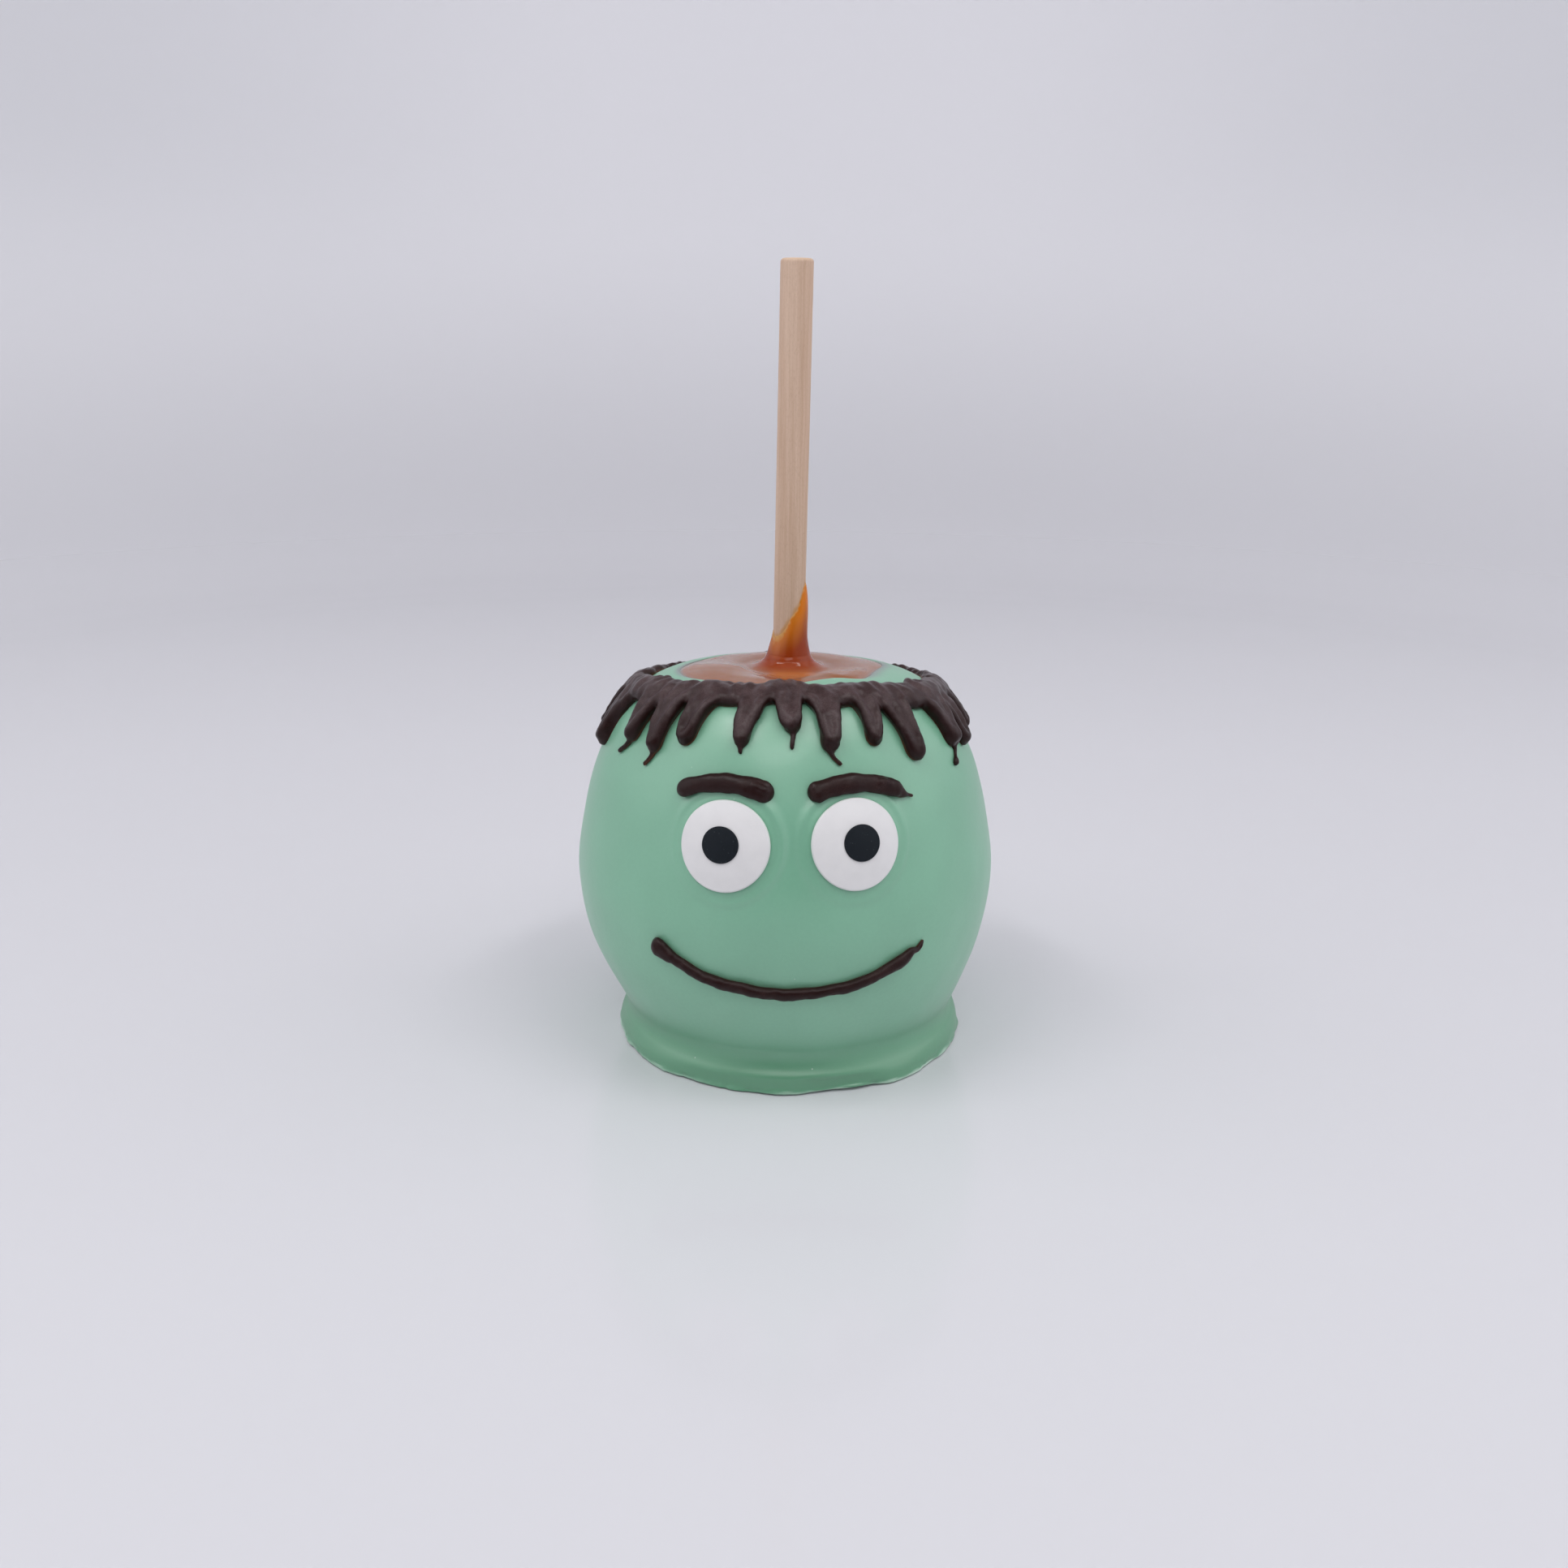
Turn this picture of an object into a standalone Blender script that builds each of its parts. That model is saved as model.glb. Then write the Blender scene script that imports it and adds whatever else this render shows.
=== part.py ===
"""Caramel apple on a wooden stick, dipped in green candy and decorated with piped chocolate.

Run it with blender --background --python part.py, or from the text editor.
Lengths are metres and +Z is up. The decorated front faces -Y, and the origin is the
middle of the flat foot that the apple stands on. Azimuth 0 is the front of the apple,
and it grows towards +X.
"""
import math
import random

import bmesh
import bpy
import numpy as np

MM = 0.001
GAP = 0.3 * MM  # clear distance between two pieces that touch on the real apple

# Coated apple: half outline (radius, height) in mm, from the crease above the foot to the top.
BODY_OUTLINE_MM = (
    (34.0, 5.4), (37.2, 12.0), (41.6, 24.0), (43.2, 37.0), (41.3, 50.0),
    (37.6, 62.0), (32.4, 70.8), (27.7, 75.1), (22.5, 76.7), (18.0, 77.0),
)
BODY_SHIFT = -1.3 * MM  # the body sits a little to the left of its foot
BODY_SHIFT_HEIGHT = 26.0 * MM
TOP_TILT = math.radians(2.6)  # the flat top dips towards the back
TOP_TILT_START = 60.0 * MM
TOP_TILT_FULL = 75.0 * MM
CREASE_HEIGHT = 5.4 * MM
CREASE_LIFT_FRONT = 1.3 * MM  # the crease is highest at the front
CREASE_LIFT_FADE = 20.0 * MM
SHOULDER_LOBES = 5
SHOULDER_LOBE_DEPTH = 0.3 * MM
COAT_COLUMNS = 64
COAT_BODY_ROWS = 19

# Foot: the candy that pooled round the base while the coat set.
FOOT_RADIUS = 37.2 * MM
FOOT_WAVE = 0.3 * MM
FOOT_FLAT_INSET = 1.4 * MM
FOOT_LIP_HEIGHT = 0.6 * MM
FOOT_WALL_HEIGHT = 1.7 * MM
FOOT_SHOULDER_INSET = 1.1 * MM

# Stick: quarter inch dowel, 140 mm long.
STICK_RADIUS = 3.175 * MM
STICK_LENGTH = 140.0 * MM
STICK_TOP = 156.0 * MM
STICK_EDGE = 0.7 * MM
STICK_CENTRE_AT_TOP_OF_APPLE = -1.2 * MM
STICK_LEAN_RIGHT = math.radians(0.57)
STICK_LEAN_BACK = math.radians(0.4)
STICK_COLUMNS = 24

# Caramel pool in the dimple, with a collar that climbs the stick.
POOL_RADIUS = 22.3 * MM
POOL_FRONT_CUT = 1.9 * MM  # the pool is shallower towards the front
POOL_DEPTH = 2.6 * MM
POOL_BULGE = 0.5 * MM
COLLAR_BASE_RADIUS = 7.2 * MM
COLLAR_THICKNESS = 0.9 * MM
COLLAR_HEIGHT = 7.8 * MM
COLLAR_TONGUE = 10.4 * MM  # extra height of the tongue on the right of the stick
COLLAR_TONGUE_AZIMUTH = math.radians(88.0)
COLLAR_TONGUE_SHARPNESS = 3.6
POOL_COLUMNS = 48

# Piped chocolate drips round the top.
DRIP_COUNT = 24
DRIP_SEED = 11
DRIP_SHORTEST = 9.0 * MM
DRIP_LONGEST_FRONT = 13.4 * MM  # the drips above the eyes stay clear of the brows
DRIP_LONGEST_BACK = 19.0 * MM
DRIP_START = 1.7 * MM  # each drip starts this far inside the middle of the band
DRIP_TOP_HALF_WIDTH = 3.9 * MM
DRIP_HALF_WIDTH = 2.5 * MM
DRIP_BULB_HALF_WIDTH = 2.8 * MM
DRIP_CREST_TOP = 2.7 * MM
DRIP_CREST = 2.1 * MM
DRIP_HALF_THICKNESS = 1.7 * MM
DRIP_COLUMNS = 9
BAND_RADIUS_FRONT = 24.0 * MM
BAND_RADIUS_BACK = 33.0 * MM
BAND_HALF_WIDTH = 3.1 * MM
BAND_CREST = 2.1 * MM
BAND_COLUMNS = 64

# Candy eyes, and the piped brows and smile.
FACE_AZIMUTH = math.radians(1.3)  # the middle of the face is a little right of the front
EYE_AZIMUTH = math.radians(16.7)
EYE_HEIGHT = 52.7 * MM
EYE_RADIUS = 8.5 * MM
EYE_EDGE = 1.0 * MM
EYE_DOME = 0.7 * MM
EYE_COLUMNS = 32
PUPIL_RADIUS = 3.45 * MM
PUPIL_DOME = 0.5 * MM
PUPIL_OUTWARD = 1.1 * MM
BROW_LENGTH = 19.0 * MM
BROW_HALF_WIDTH = 2.1 * MM
BROW_CREST = 1.9 * MM
BROW_HEIGHT = 64.0 * MM
BROW_ARCH = 2.2 * MM
BROW_TILT = 1.1 * MM  # the inner end of a brow is higher than its outer end
BROW_AZIMUTH_FACTOR = 1.12
SMILE_AZIMUTH = math.radians(36.0)
SMILE_HEIGHT = 24.8 * MM
SMILE_RISE = 7.5 * MM
SMILE_HALF_WIDTH = 1.45 * MM
SMILE_BULB = 0.8 * MM
SMILE_CREST = 1.8 * MM

GREEN_CANDY = ("green_candy", (0.31, 0.55, 0.42), 0.32)
CARAMEL = ("caramel", (0.42, 0.13, 0.03), 0.12)
DARK_CHOCOLATE = ("dark_chocolate", (0.030, 0.017, 0.015), 0.38)
WOOD = ("birch_wood", (0.58, 0.42, 0.29), 0.65)
WHITE_SUGAR = ("white_sugar", (0.80, 0.79, 0.79), 0.45)
BLACK_SUGAR = ("black_sugar", (0.016, 0.020, 0.026), 0.55)


def clear_scene():
    """Remove the objects that a new scene starts with."""
    for item in list(bpy.data.objects):
        bpy.data.objects.remove(item, do_unlink=True)


def make_material(finish):
    """Principled material from a (name, colour, roughness) finish, made once."""
    name, colour, roughness = finish
    material = bpy.data.materials.get(name)
    if material is None:
        material = bpy.data.materials.new(name)
        material.use_nodes = True
        shader = material.node_tree.nodes["Principled BSDF"]
        shader.inputs["Base Color"].default_value = (*colour, 1.0)
        shader.inputs["Roughness"].default_value = roughness
        shader.inputs["Metallic"].default_value = 0.0
    return material


def smooth_outline(points, count):
    """Cubic curve through the points, read off at even steps of its length."""
    knots = np.array(points) * MM
    chord = np.concatenate(([0.0], np.cumsum(np.linalg.norm(np.diff(knots, axis=0), axis=1))))
    slope = np.gradient(knots, chord, axis=0, edge_order=2)
    fine = np.linspace(0.0, chord[-1], 8 * count)
    left = np.clip(np.searchsorted(chord, fine, side="right") - 1, 0, len(chord) - 2)
    span = (chord[left + 1] - chord[left])[:, None]
    t = (fine - chord[left])[:, None] / span
    curve = (
        (2 * t**3 - 3 * t**2 + 1) * knots[left] + (t**3 - 2 * t**2 + t) * span * slope[left]
        + (3 * t**2 - 2 * t**3) * knots[left + 1] + (t**3 - t**2) * span * slope[left + 1]
    )
    length = np.concatenate(([0.0], np.cumsum(np.linalg.norm(np.diff(curve, axis=0), axis=1))))
    even = np.linspace(0.0, length[-1], count)
    return even, np.interp(even, length, curve[:, 0]), np.interp(even, length, curve[:, 1])


OUTLINE_STEP, OUTLINE_RADIUS, OUTLINE_HEIGHT = smooth_outline(BODY_OUTLINE_MM, 300)
SLOPE_RADIUS = np.gradient(OUTLINE_RADIUS, OUTLINE_STEP)
SLOPE_HEIGHT = np.gradient(OUTLINE_HEIGHT, OUTLINE_STEP)


def step_at_radius(radius):
    """Length along the outline at which its upper half has this radius."""
    widest = int(np.argmax(OUTLINE_RADIUS))
    return np.interp(-radius, -OUTLINE_RADIUS[widest:], OUTLINE_STEP[widest:])


def step_at_height(height):
    """Length along the outline at which it has this height."""
    return np.interp(height, OUTLINE_HEIGHT, OUTLINE_STEP)


def axis_shift(height):
    """Sideways place of the body's axis: over the foot at the base, shifted at the belly."""
    t = np.clip(height / BODY_SHIFT_HEIGHT, 0.0, 1.0)
    return BODY_SHIFT * t * t * (3.0 - 2.0 * t)


def crease_lift(azimuth, height):
    """How far the outline is raised near the crease, most at the front."""
    front = (0.5 + 0.5 * np.cos(azimuth)) ** 2
    fade = np.clip(1.0 - (height - CREASE_HEIGHT) / CREASE_LIFT_FADE, 0.0, 1.0)
    return CREASE_LIFT_FRONT * front * fade**2


def around(azimuth, radius, height):
    """Points at an azimuth, a radius from the body's axis and a height.

    Near the top the height is tilted, so that the flat top dips towards the back.
    """
    x = radius * np.sin(azimuth) + axis_shift(height)
    y = -radius * np.cos(azimuth)
    t = np.clip((height - TOP_TILT_START) / (TOP_TILT_FULL - TOP_TILT_START), 0.0, 1.0)
    tilted = height - y * math.tan(TOP_TILT) * t * t * (3.0 - 2.0 * t)
    return np.stack(np.broadcast_arrays(x, y, tilted), axis=-1)


def outline_height(step):
    """Height of the outline at a length along it, before any lift or tilt."""
    return np.interp(step, OUTLINE_STEP, OUTLINE_HEIGHT)


def coat_surface(azimuth, step, lift=0.0):
    """Points on the coat at an azimuth and a length along its outline, raised by lift."""
    azimuth, step, lift = np.broadcast_arrays(azimuth, step, lift)
    radius = np.interp(step, OUTLINE_STEP, OUTLINE_RADIUS)
    height = outline_height(step)
    shoulder = np.clip(height / (60.0 * MM), 0.0, 1.0) ** 4 * np.clip(radius / (30.0 * MM), 0.0, 1.0)
    radius = radius + SHOULDER_LOBE_DEPTH * shoulder * np.cos(SHOULDER_LOBES * azimuth + 0.6)
    height = height + crease_lift(azimuth, height)
    radius = radius + lift * np.interp(step, OUTLINE_STEP, SLOPE_HEIGHT)
    height = height - lift * np.interp(step, OUTLINE_STEP, SLOPE_RADIUS)
    return around(azimuth, radius, height)


def grid_object(name, rings, finish, start=None, end=None, sharp=math.radians(40.0)):
    """Closed mesh from rings of points, each joined to the next.

    The start and end points close the two ends. Without them the last ring joins the first.
    """
    rings = np.asarray(rings)
    count, columns = rings.shape[:2]
    verts = rings.reshape(-1, 3).tolist()
    faces = []
    for row in range(count if start is None else count - 1):
        low, high = row * columns, (row + 1) % count * columns
        for column in range(columns):
            after = (column + 1) % columns
            faces.append((low + column, low + after, high + after, high + column))
    if start is not None:
        verts += [tuple(start), tuple(end)]
        last = (count - 1) * columns
        for column in range(columns):
            after = (column + 1) % columns
            faces.append((len(verts) - 2, after, column))
            faces.append((len(verts) - 1, last + column, last + after))
    mesh = bpy.data.meshes.new(name)
    mesh.from_pydata(verts, [], faces)
    point_faces_outwards(mesh)
    mesh.shade_smooth()
    mesh.set_sharp_from_angle(angle=sharp)
    mesh.materials.append(make_material(finish))
    item = bpy.data.objects.new(name, mesh)
    bpy.context.scene.collection.objects.link(item)
    return item


def point_faces_outwards(mesh):
    """Make every face of a closed mesh point away from its inside."""
    work = bmesh.new()
    work.from_mesh(mesh)
    bmesh.ops.recalc_face_normals(work, faces=work.faces)
    if work.calc_volume(signed=True) < 0.0:
        bmesh.ops.reverse_faces(work, faces=work.faces)
    work.to_mesh(mesh)
    work.free()


def turn(columns):
    """Azimuths of the columns of one full turn."""
    return np.arange(columns) * 2.0 * math.pi / columns


def stick_centre(height):
    """Point of the leaning stick's axis at a height."""
    above = height - OUTLINE_HEIGHT[-1]
    x = STICK_CENTRE_AT_TOP_OF_APPLE + above * math.tan(STICK_LEAN_RIGHT)
    y = above * math.tan(STICK_LEAN_BACK)
    return np.stack(np.broadcast_arrays(x, y, height), axis=-1)


def stick_ring(azimuth, radius, height):
    """Ring of points round the stick's axis."""
    centre = stick_centre(height)
    offset = np.stack(np.broadcast_arrays(
        radius * np.sin(azimuth), -radius * np.cos(azimuth), np.zeros_like(azimuth)), axis=-1)
    return centre + offset


def pool_radius(azimuth):
    """Radius of the caramel pool's edge, cut back at the front."""
    front = (0.5 + 0.5 * np.cos(azimuth)) ** 2
    return POOL_RADIUS - POOL_FRONT_CUT * front + 0.25 * MM * np.cos(3.0 * azimuth + 1.0)


def foot_radius(azimuth):
    """Radius of the foot's wavy edge."""
    return FOOT_RADIUS + FOOT_WAVE * (np.cos(4.0 * azimuth - 2.6) + 0.5 * np.cos(9.0 * azimuth + 1.0))


def build_coated_apple():
    """Apple and candy coat as one solid, with the pool's recess and the stick's bore."""
    azimuth = turn(COAT_COLUMNS)
    foot = foot_radius(azimuth)
    crease = OUTLINE_RADIUS[0]
    rise = OUTLINE_HEIGHT[0] + crease_lift(azimuth, OUTLINE_HEIGHT[0]) - FOOT_WALL_HEIGHT
    shoulder = foot - FOOT_SHOULDER_INSET
    rings = [
        around(azimuth, foot - FOOT_FLAT_INSET, 0.0),
        around(azimuth, foot - 0.1 * MM, FOOT_LIP_HEIGHT),
        around(azimuth, foot, FOOT_WALL_HEIGHT),
        around(azimuth, shoulder, FOOT_WALL_HEIGHT + 0.5 * rise),
        around(azimuth, 0.4 * shoulder + 0.6 * crease, FOOT_WALL_HEIGHT + 0.85 * rise),
    ]
    edge = pool_radius(azimuth)
    edge_step = step_at_radius(edge)
    for share in np.linspace(0.0, 1.0, COAT_BODY_ROWS):
        rings.append(coat_surface(azimuth, share * edge_step))
    floor_height = OUTLINE_HEIGHT[-1] - POOL_DEPTH
    rings.append(around(azimuth, edge - 0.4 * MM, floor_height))
    bore = STICK_RADIUS + GAP
    stick_bottom = STICK_TOP - STICK_LENGTH
    rings.append(stick_ring(azimuth, bore, floor_height))
    rings.append(stick_ring(azimuth, bore, stick_bottom - GAP))
    bore_end = stick_centre(stick_bottom - GAP)
    grid_object("coated_apple", rings, GREEN_CANDY, start=(0.0, 0.0, 0.0), end=bore_end)


def build_caramel_pool():
    """Caramel in the recess: a low lens with a collar that climbs the stick to a tongue."""
    azimuth = turn(POOL_COLUMNS)
    edge = pool_radius(azimuth)
    top = OUTLINE_HEIGHT[-1]
    floor = top - POOL_DEPTH + GAP
    rim = outline_height(step_at_radius(edge))
    inner = STICK_RADIUS + GAP
    away = azimuth - COLLAR_TONGUE_AZIMUTH
    tongue = (0.5 + 0.5 * np.cos(away)) ** (0.5 * COLLAR_TONGUE_SHARPNESS)
    climb = COLLAR_HEIGHT + COLLAR_TONGUE * tongue
    outer_edge = edge - GAP
    wave = np.cos(2.0 * azimuth + 0.5) + 0.7 * np.cos(5.0 * azimuth)
    rings = [
        stick_ring(azimuth, inner, floor),
        around(azimuth, outer_edge - 0.5 * MM, floor),
        around(azimuth, outer_edge - 0.1 * MM, rim - 0.2 * MM),
        around(azimuth, outer_edge - 1.4 * MM, rim + POOL_BULGE * (1.0 + 0.3 * wave)),
        around(azimuth, 0.72 * outer_edge, top + 0.15 * MM * wave),
        around(azimuth, 0.5 * outer_edge, top - 0.2 * MM + 0.15 * MM * wave),
        stick_ring(azimuth, COLLAR_BASE_RADIUS, top + 0.2 * MM),
        stick_ring(azimuth, inner + 2.0 * COLLAR_THICKNESS, top + 1.6 * MM),
        stick_ring(azimuth, inner + 1.2 * COLLAR_THICKNESS, top + 0.45 * climb),
        stick_ring(azimuth, inner + 0.9 * COLLAR_THICKNESS, top + 0.8 * climb),
        stick_ring(azimuth, inner + 0.35 * COLLAR_THICKNESS, top + climb),
        stick_ring(azimuth, inner, top + 0.97 * climb),
    ]
    grid_object("caramel_pool", rings, CARAMEL)


def build_stick():
    """Round stick with eased ends, from inside the apple to its top."""
    azimuth = turn(STICK_COLUMNS)
    bottom = STICK_TOP - STICK_LENGTH
    sizes = (
        (STICK_RADIUS - STICK_EDGE, bottom), (STICK_RADIUS, bottom + STICK_EDGE),
        (STICK_RADIUS, STICK_TOP - STICK_EDGE),
        (STICK_RADIUS - 0.3 * STICK_EDGE, STICK_TOP - 0.3 * STICK_EDGE),
        (STICK_RADIUS - STICK_EDGE, STICK_TOP),
    )
    rings = [stick_ring(azimuth, radius, height) for radius, height in sizes]
    grid_object("stick", rings, WOOD, start=stick_centre(bottom), end=stick_centre(STICK_TOP))


def piped_rings(azimuth, step, half_width, crest, half_thickness, columns):
    """Oval rings of a bead of chocolate piped along a path on the coat.

    The path is given by azimuth and outline length. Each ring is an oval across the path,
    whose top stands at crest above the coat.
    """
    path = coat_surface(azimuth, step)
    normal = coat_surface(azimuth, step, 1.0 * MM) - path
    normal /= np.linalg.norm(normal, axis=1)[:, None]
    along = np.gradient(path, axis=0)
    along /= np.linalg.norm(along, axis=1)[:, None]
    across = np.cross(along, normal)
    angle = turn(columns)[None, :, None] + math.pi / columns
    middle = path + (crest - half_thickness)[:, None] * normal
    return (
        middle[:, None, :]
        + half_width[:, None, None] * np.cos(angle) * across[:, None, :]
        + half_thickness[:, None, None] * np.sin(angle) * normal[:, None, :]
    )


def rounded_end(t, start):
    """1 up to t = start, then a quarter circle down to nearly 0 at t = 1."""
    past = np.clip((t - start) / (1.0 - start), 0.0, 0.985)
    return np.sqrt(1.0 - past**2)


def band_radius(azimuth):
    """Radius of the chocolate band: close to the pool at the front, wider elsewhere."""
    side = np.abs(np.sin(0.5 * azimuth)) ** 1.2
    return BAND_RADIUS_FRONT + (BAND_RADIUS_BACK - BAND_RADIUS_FRONT) * side


def build_band():
    """Bead of chocolate all the way round the top, which the drips run down from."""
    azimuth = turn(BAND_COLUMNS)
    step = step_at_radius(band_radius(azimuth)) + 0.35 * MM * np.cos(9.0 * azimuth)
    width = BAND_HALF_WIDTH * (1.0 + 0.10 * np.cos(7.0 * azimuth + 1.0))
    crest = BAND_CREST * (1.0 + 0.08 * np.cos(11.0 * azimuth))
    closed = np.concatenate((azimuth[-1:] - 2 * math.pi, azimuth, azimuth[:1] + 2 * math.pi))
    wrap = np.concatenate(([BAND_COLUMNS - 1], np.arange(BAND_COLUMNS), [0]))
    thickness = np.full(BAND_COLUMNS, DRIP_HALF_THICKNESS * 1.1)
    rings = piped_rings(closed, step[wrap], width[wrap], crest[wrap], thickness[wrap], DRIP_COLUMNS)
    return grid_object("band", rings[1:-1], DARK_CHOCOLATE)


def build_drip(index, draw):
    """One drip: wide under the band, narrow along its run, with a round bulb at its end."""
    centre = (index + draw.uniform(-0.22, 0.22)) * 2.0 * math.pi / DRIP_COUNT
    reach = (draw.random() + index % 2) / 2.0
    side = np.sin(0.5 * centre) ** 2
    longest = DRIP_LONGEST_FRONT + (DRIP_LONGEST_BACK - DRIP_LONGEST_FRONT) * side
    length = DRIP_SHORTEST + (longest - DRIP_SHORTEST) * reach
    drift = draw.uniform(-0.05, 0.05)
    size = draw.uniform(0.92, 1.08)
    t = np.array([0.0, 0.05, 0.14, 0.32, 0.52, 0.7, 0.82, 0.9, 0.96, 1.0])
    start = step_at_radius(band_radius(centre)) + DRIP_START
    step = start - t * (length + DRIP_START)
    azimuth = centre + drift * t**1.5
    taper = np.clip(t / 0.6, 0.0, 1.0)
    neck = DRIP_TOP_HALF_WIDTH + (DRIP_HALF_WIDTH - DRIP_TOP_HALF_WIDTH) * taper
    bulb = (DRIP_BULB_HALF_WIDTH - DRIP_HALF_WIDTH) * np.clip((t - 0.55) / 0.27, 0.0, 1.0)
    closing = rounded_end(t, 1.0 - DRIP_BULB_HALF_WIDTH / length) * rounded_end(1.0 - t, 0.86)
    width = (neck + bulb) * size * closing
    crest = (DRIP_CREST_TOP + (DRIP_CREST - DRIP_CREST_TOP) * taper) * size * (0.25 + 0.75 * closing)
    thickness = DRIP_HALF_THICKNESS * closing * size
    rings = piped_rings(azimuth, step, width, crest, thickness, DRIP_COLUMNS)
    return grid_object(f"drip_{index}", rings, DARK_CHOCOLATE,
                       start=rings[0].mean(axis=0), end=rings[-1].mean(axis=0))


def build_seat_cutter():
    """Solid just outside the coat, which gives the underside of the piped chocolate its seat."""
    azimuth = turn(COAT_COLUMNS)
    steps = np.linspace(0.0, OUTLINE_STEP[-1], COAT_BODY_ROWS + 2)
    rings = [coat_surface(azimuth, step, GAP + 0.05 * MM) for step in steps]
    low = rings[0].mean(axis=0)
    high = rings[-1].mean(axis=0)
    cutter = grid_object("seat_cutter", rings, GREEN_CANDY, start=low, end=high)
    cutter.hide_render = True
    cutter.display_type = "WIRE"
    return cutter


def keep_largest_body(work):
    """Delete every loose scrap that a Boolean left beside the main body."""
    unseen = set(work.verts)
    bodies = []
    while unseen:
        stack = [unseen.pop()]
        body = list(stack)
        while stack:
            for edge in stack.pop().link_edges:
                for vert in edge.verts:
                    if vert in unseen:
                        unseen.remove(vert)
                        stack.append(vert)
                        body.append(vert)
        bodies.append(body)
    bodies.sort(key=len)
    for body in bodies[:-1]:
        bmesh.ops.delete(work, geom=body, context="VERTS")


def build_chocolate_drips():
    """Band and drips fused into one solid, seated on the coat."""
    draw = random.Random(DRIP_SEED)
    drips = bpy.data.collections.new("drips")
    bpy.context.scene.collection.children.link(drips)
    for index in range(DRIP_COUNT):
        drip = build_drip(index, draw)
        bpy.context.scene.collection.objects.unlink(drip)
        drips.objects.link(drip)
    body = build_band()
    body.name = "chocolate_drips"
    fuse = body.modifiers.new("fuse", "BOOLEAN")
    fuse.operation = "UNION"
    fuse.operand_type = "COLLECTION"
    fuse.collection = drips
    fuse.solver = "EXACT"
    cutter = build_seat_cutter()
    seat = body.modifiers.new("seat", "BOOLEAN")
    seat.operation = "DIFFERENCE"
    seat.object = cutter
    seat.solver = "EXACT"
    graph = bpy.context.evaluated_depsgraph_get()
    fused = bpy.data.meshes.new_from_object(body.evaluated_get(graph))
    body.modifiers.clear()
    body.data = fused
    work = bmesh.new()
    work.from_mesh(fused)
    bmesh.ops.remove_doubles(work, verts=work.verts, dist=0.02 * MM)
    bmesh.ops.dissolve_degenerate(work, edges=work.edges, dist=0.02 * MM)
    keep_largest_body(work)
    bmesh.ops.triangulate(work, faces=work.faces)
    work.to_mesh(fused)
    work.free()
    fused.shade_smooth()
    fused.set_sharp_from_angle(angle=math.radians(50.0))
    for item in list(drips.objects) + [cutter]:
        bpy.data.objects.remove(item, do_unlink=True)
    bpy.data.collections.remove(drips)


def draped_disc(name, azimuth, height, radius, base, edge, dome, finish):
    """Round drop of sugar that lies on the coat: a thin rim and a low dome.

    The base is how far its underside stands off the coat, and edge and dome are the rim's
    thickness and how much more the middle has.
    """
    turnings = turn(EYE_COLUMNS)
    middle_step = step_at_height(height)
    profile = (
        (0.97, base), (1.0, base + 0.45 * edge), (0.97, base + 0.85 * edge),
        (0.9, base + edge), (0.55, base + edge + 0.66 * dome),
    )
    rings = []
    for share, lift in profile:
        right = share * radius * np.cos(turnings)
        up = share * radius * np.sin(turnings)
        step = middle_step + up
        ring_radius = np.interp(step, OUTLINE_STEP, OUTLINE_RADIUS)
        rings.append(coat_surface(azimuth + right / ring_radius, step, lift))
    start = coat_surface(azimuth, middle_step, base)
    end = coat_surface(azimuth, middle_step, base + edge + dome)
    grid_object(name, rings, finish, start=start, end=end)


def build_eye(side, sign):
    """White sugar disc with a dark drop on it."""
    azimuth = FACE_AZIMUTH + sign * EYE_AZIMUTH
    draped_disc(f"eye_{side}", azimuth, EYE_HEIGHT, EYE_RADIUS, GAP, EYE_EDGE, EYE_DOME, WHITE_SUGAR)
    outward = sign * PUPIL_OUTWARD / OUTLINE_RADIUS.max()
    base = 2.0 * GAP + EYE_EDGE + EYE_DOME
    draped_disc(f"pupil_{side}", azimuth + outward, EYE_HEIGHT, PUPIL_RADIUS, base,
                0.4 * PUPIL_DOME, 0.6 * PUPIL_DOME, BLACK_SUGAR)


def seated_bead(name, azimuth, step, half_width, crest):
    """Bead of piped chocolate with a flat underside just clear of the coat."""
    half_thickness = 0.5 * crest
    rings = piped_rings(azimuth, step, half_width, crest + GAP, half_thickness, DRIP_COLUMNS + 1)
    grid_object(name, rings, DARK_CHOCOLATE, start=rings[0].mean(axis=0), end=rings[-1].mean(axis=0))


def bead_ends(t, share):
    """Half width of a bead along its run: round at both ends, which take this share each."""
    near = np.clip(np.minimum(t, 1.0 - t) / share, 0.015, 1.0)
    return np.sqrt(1.0 - (1.0 - near) ** 2)


def end_spacing(count):
    """Parameters from 0 to 1 that are closer together near both ends."""
    even = np.linspace(0.0, 1.0, count)
    return 0.5 * even + 0.25 * (1.0 - np.cos(math.pi * even))


def build_brow(side, sign):
    """Short arched stroke of chocolate above an eye."""
    t = end_spacing(13)
    across = sign * (t - 0.5) * BROW_LENGTH
    arch = BROW_ARCH * (1.0 - (2.0 * t - 1.0) ** 2) - BROW_TILT * t
    step = step_at_height(BROW_HEIGHT - BROW_ARCH) + arch
    radius = np.interp(step, OUTLINE_STEP, OUTLINE_RADIUS)
    azimuth = FACE_AZIMUTH + sign * EYE_AZIMUTH * BROW_AZIMUTH_FACTOR + across / radius
    ends = bead_ends(t, 0.11)
    swell = 1.0 - 0.22 * t
    seated_bead(f"brow_{side}", azimuth, step, BROW_HALF_WIDTH * ends * swell, BROW_CREST * ends)


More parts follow.
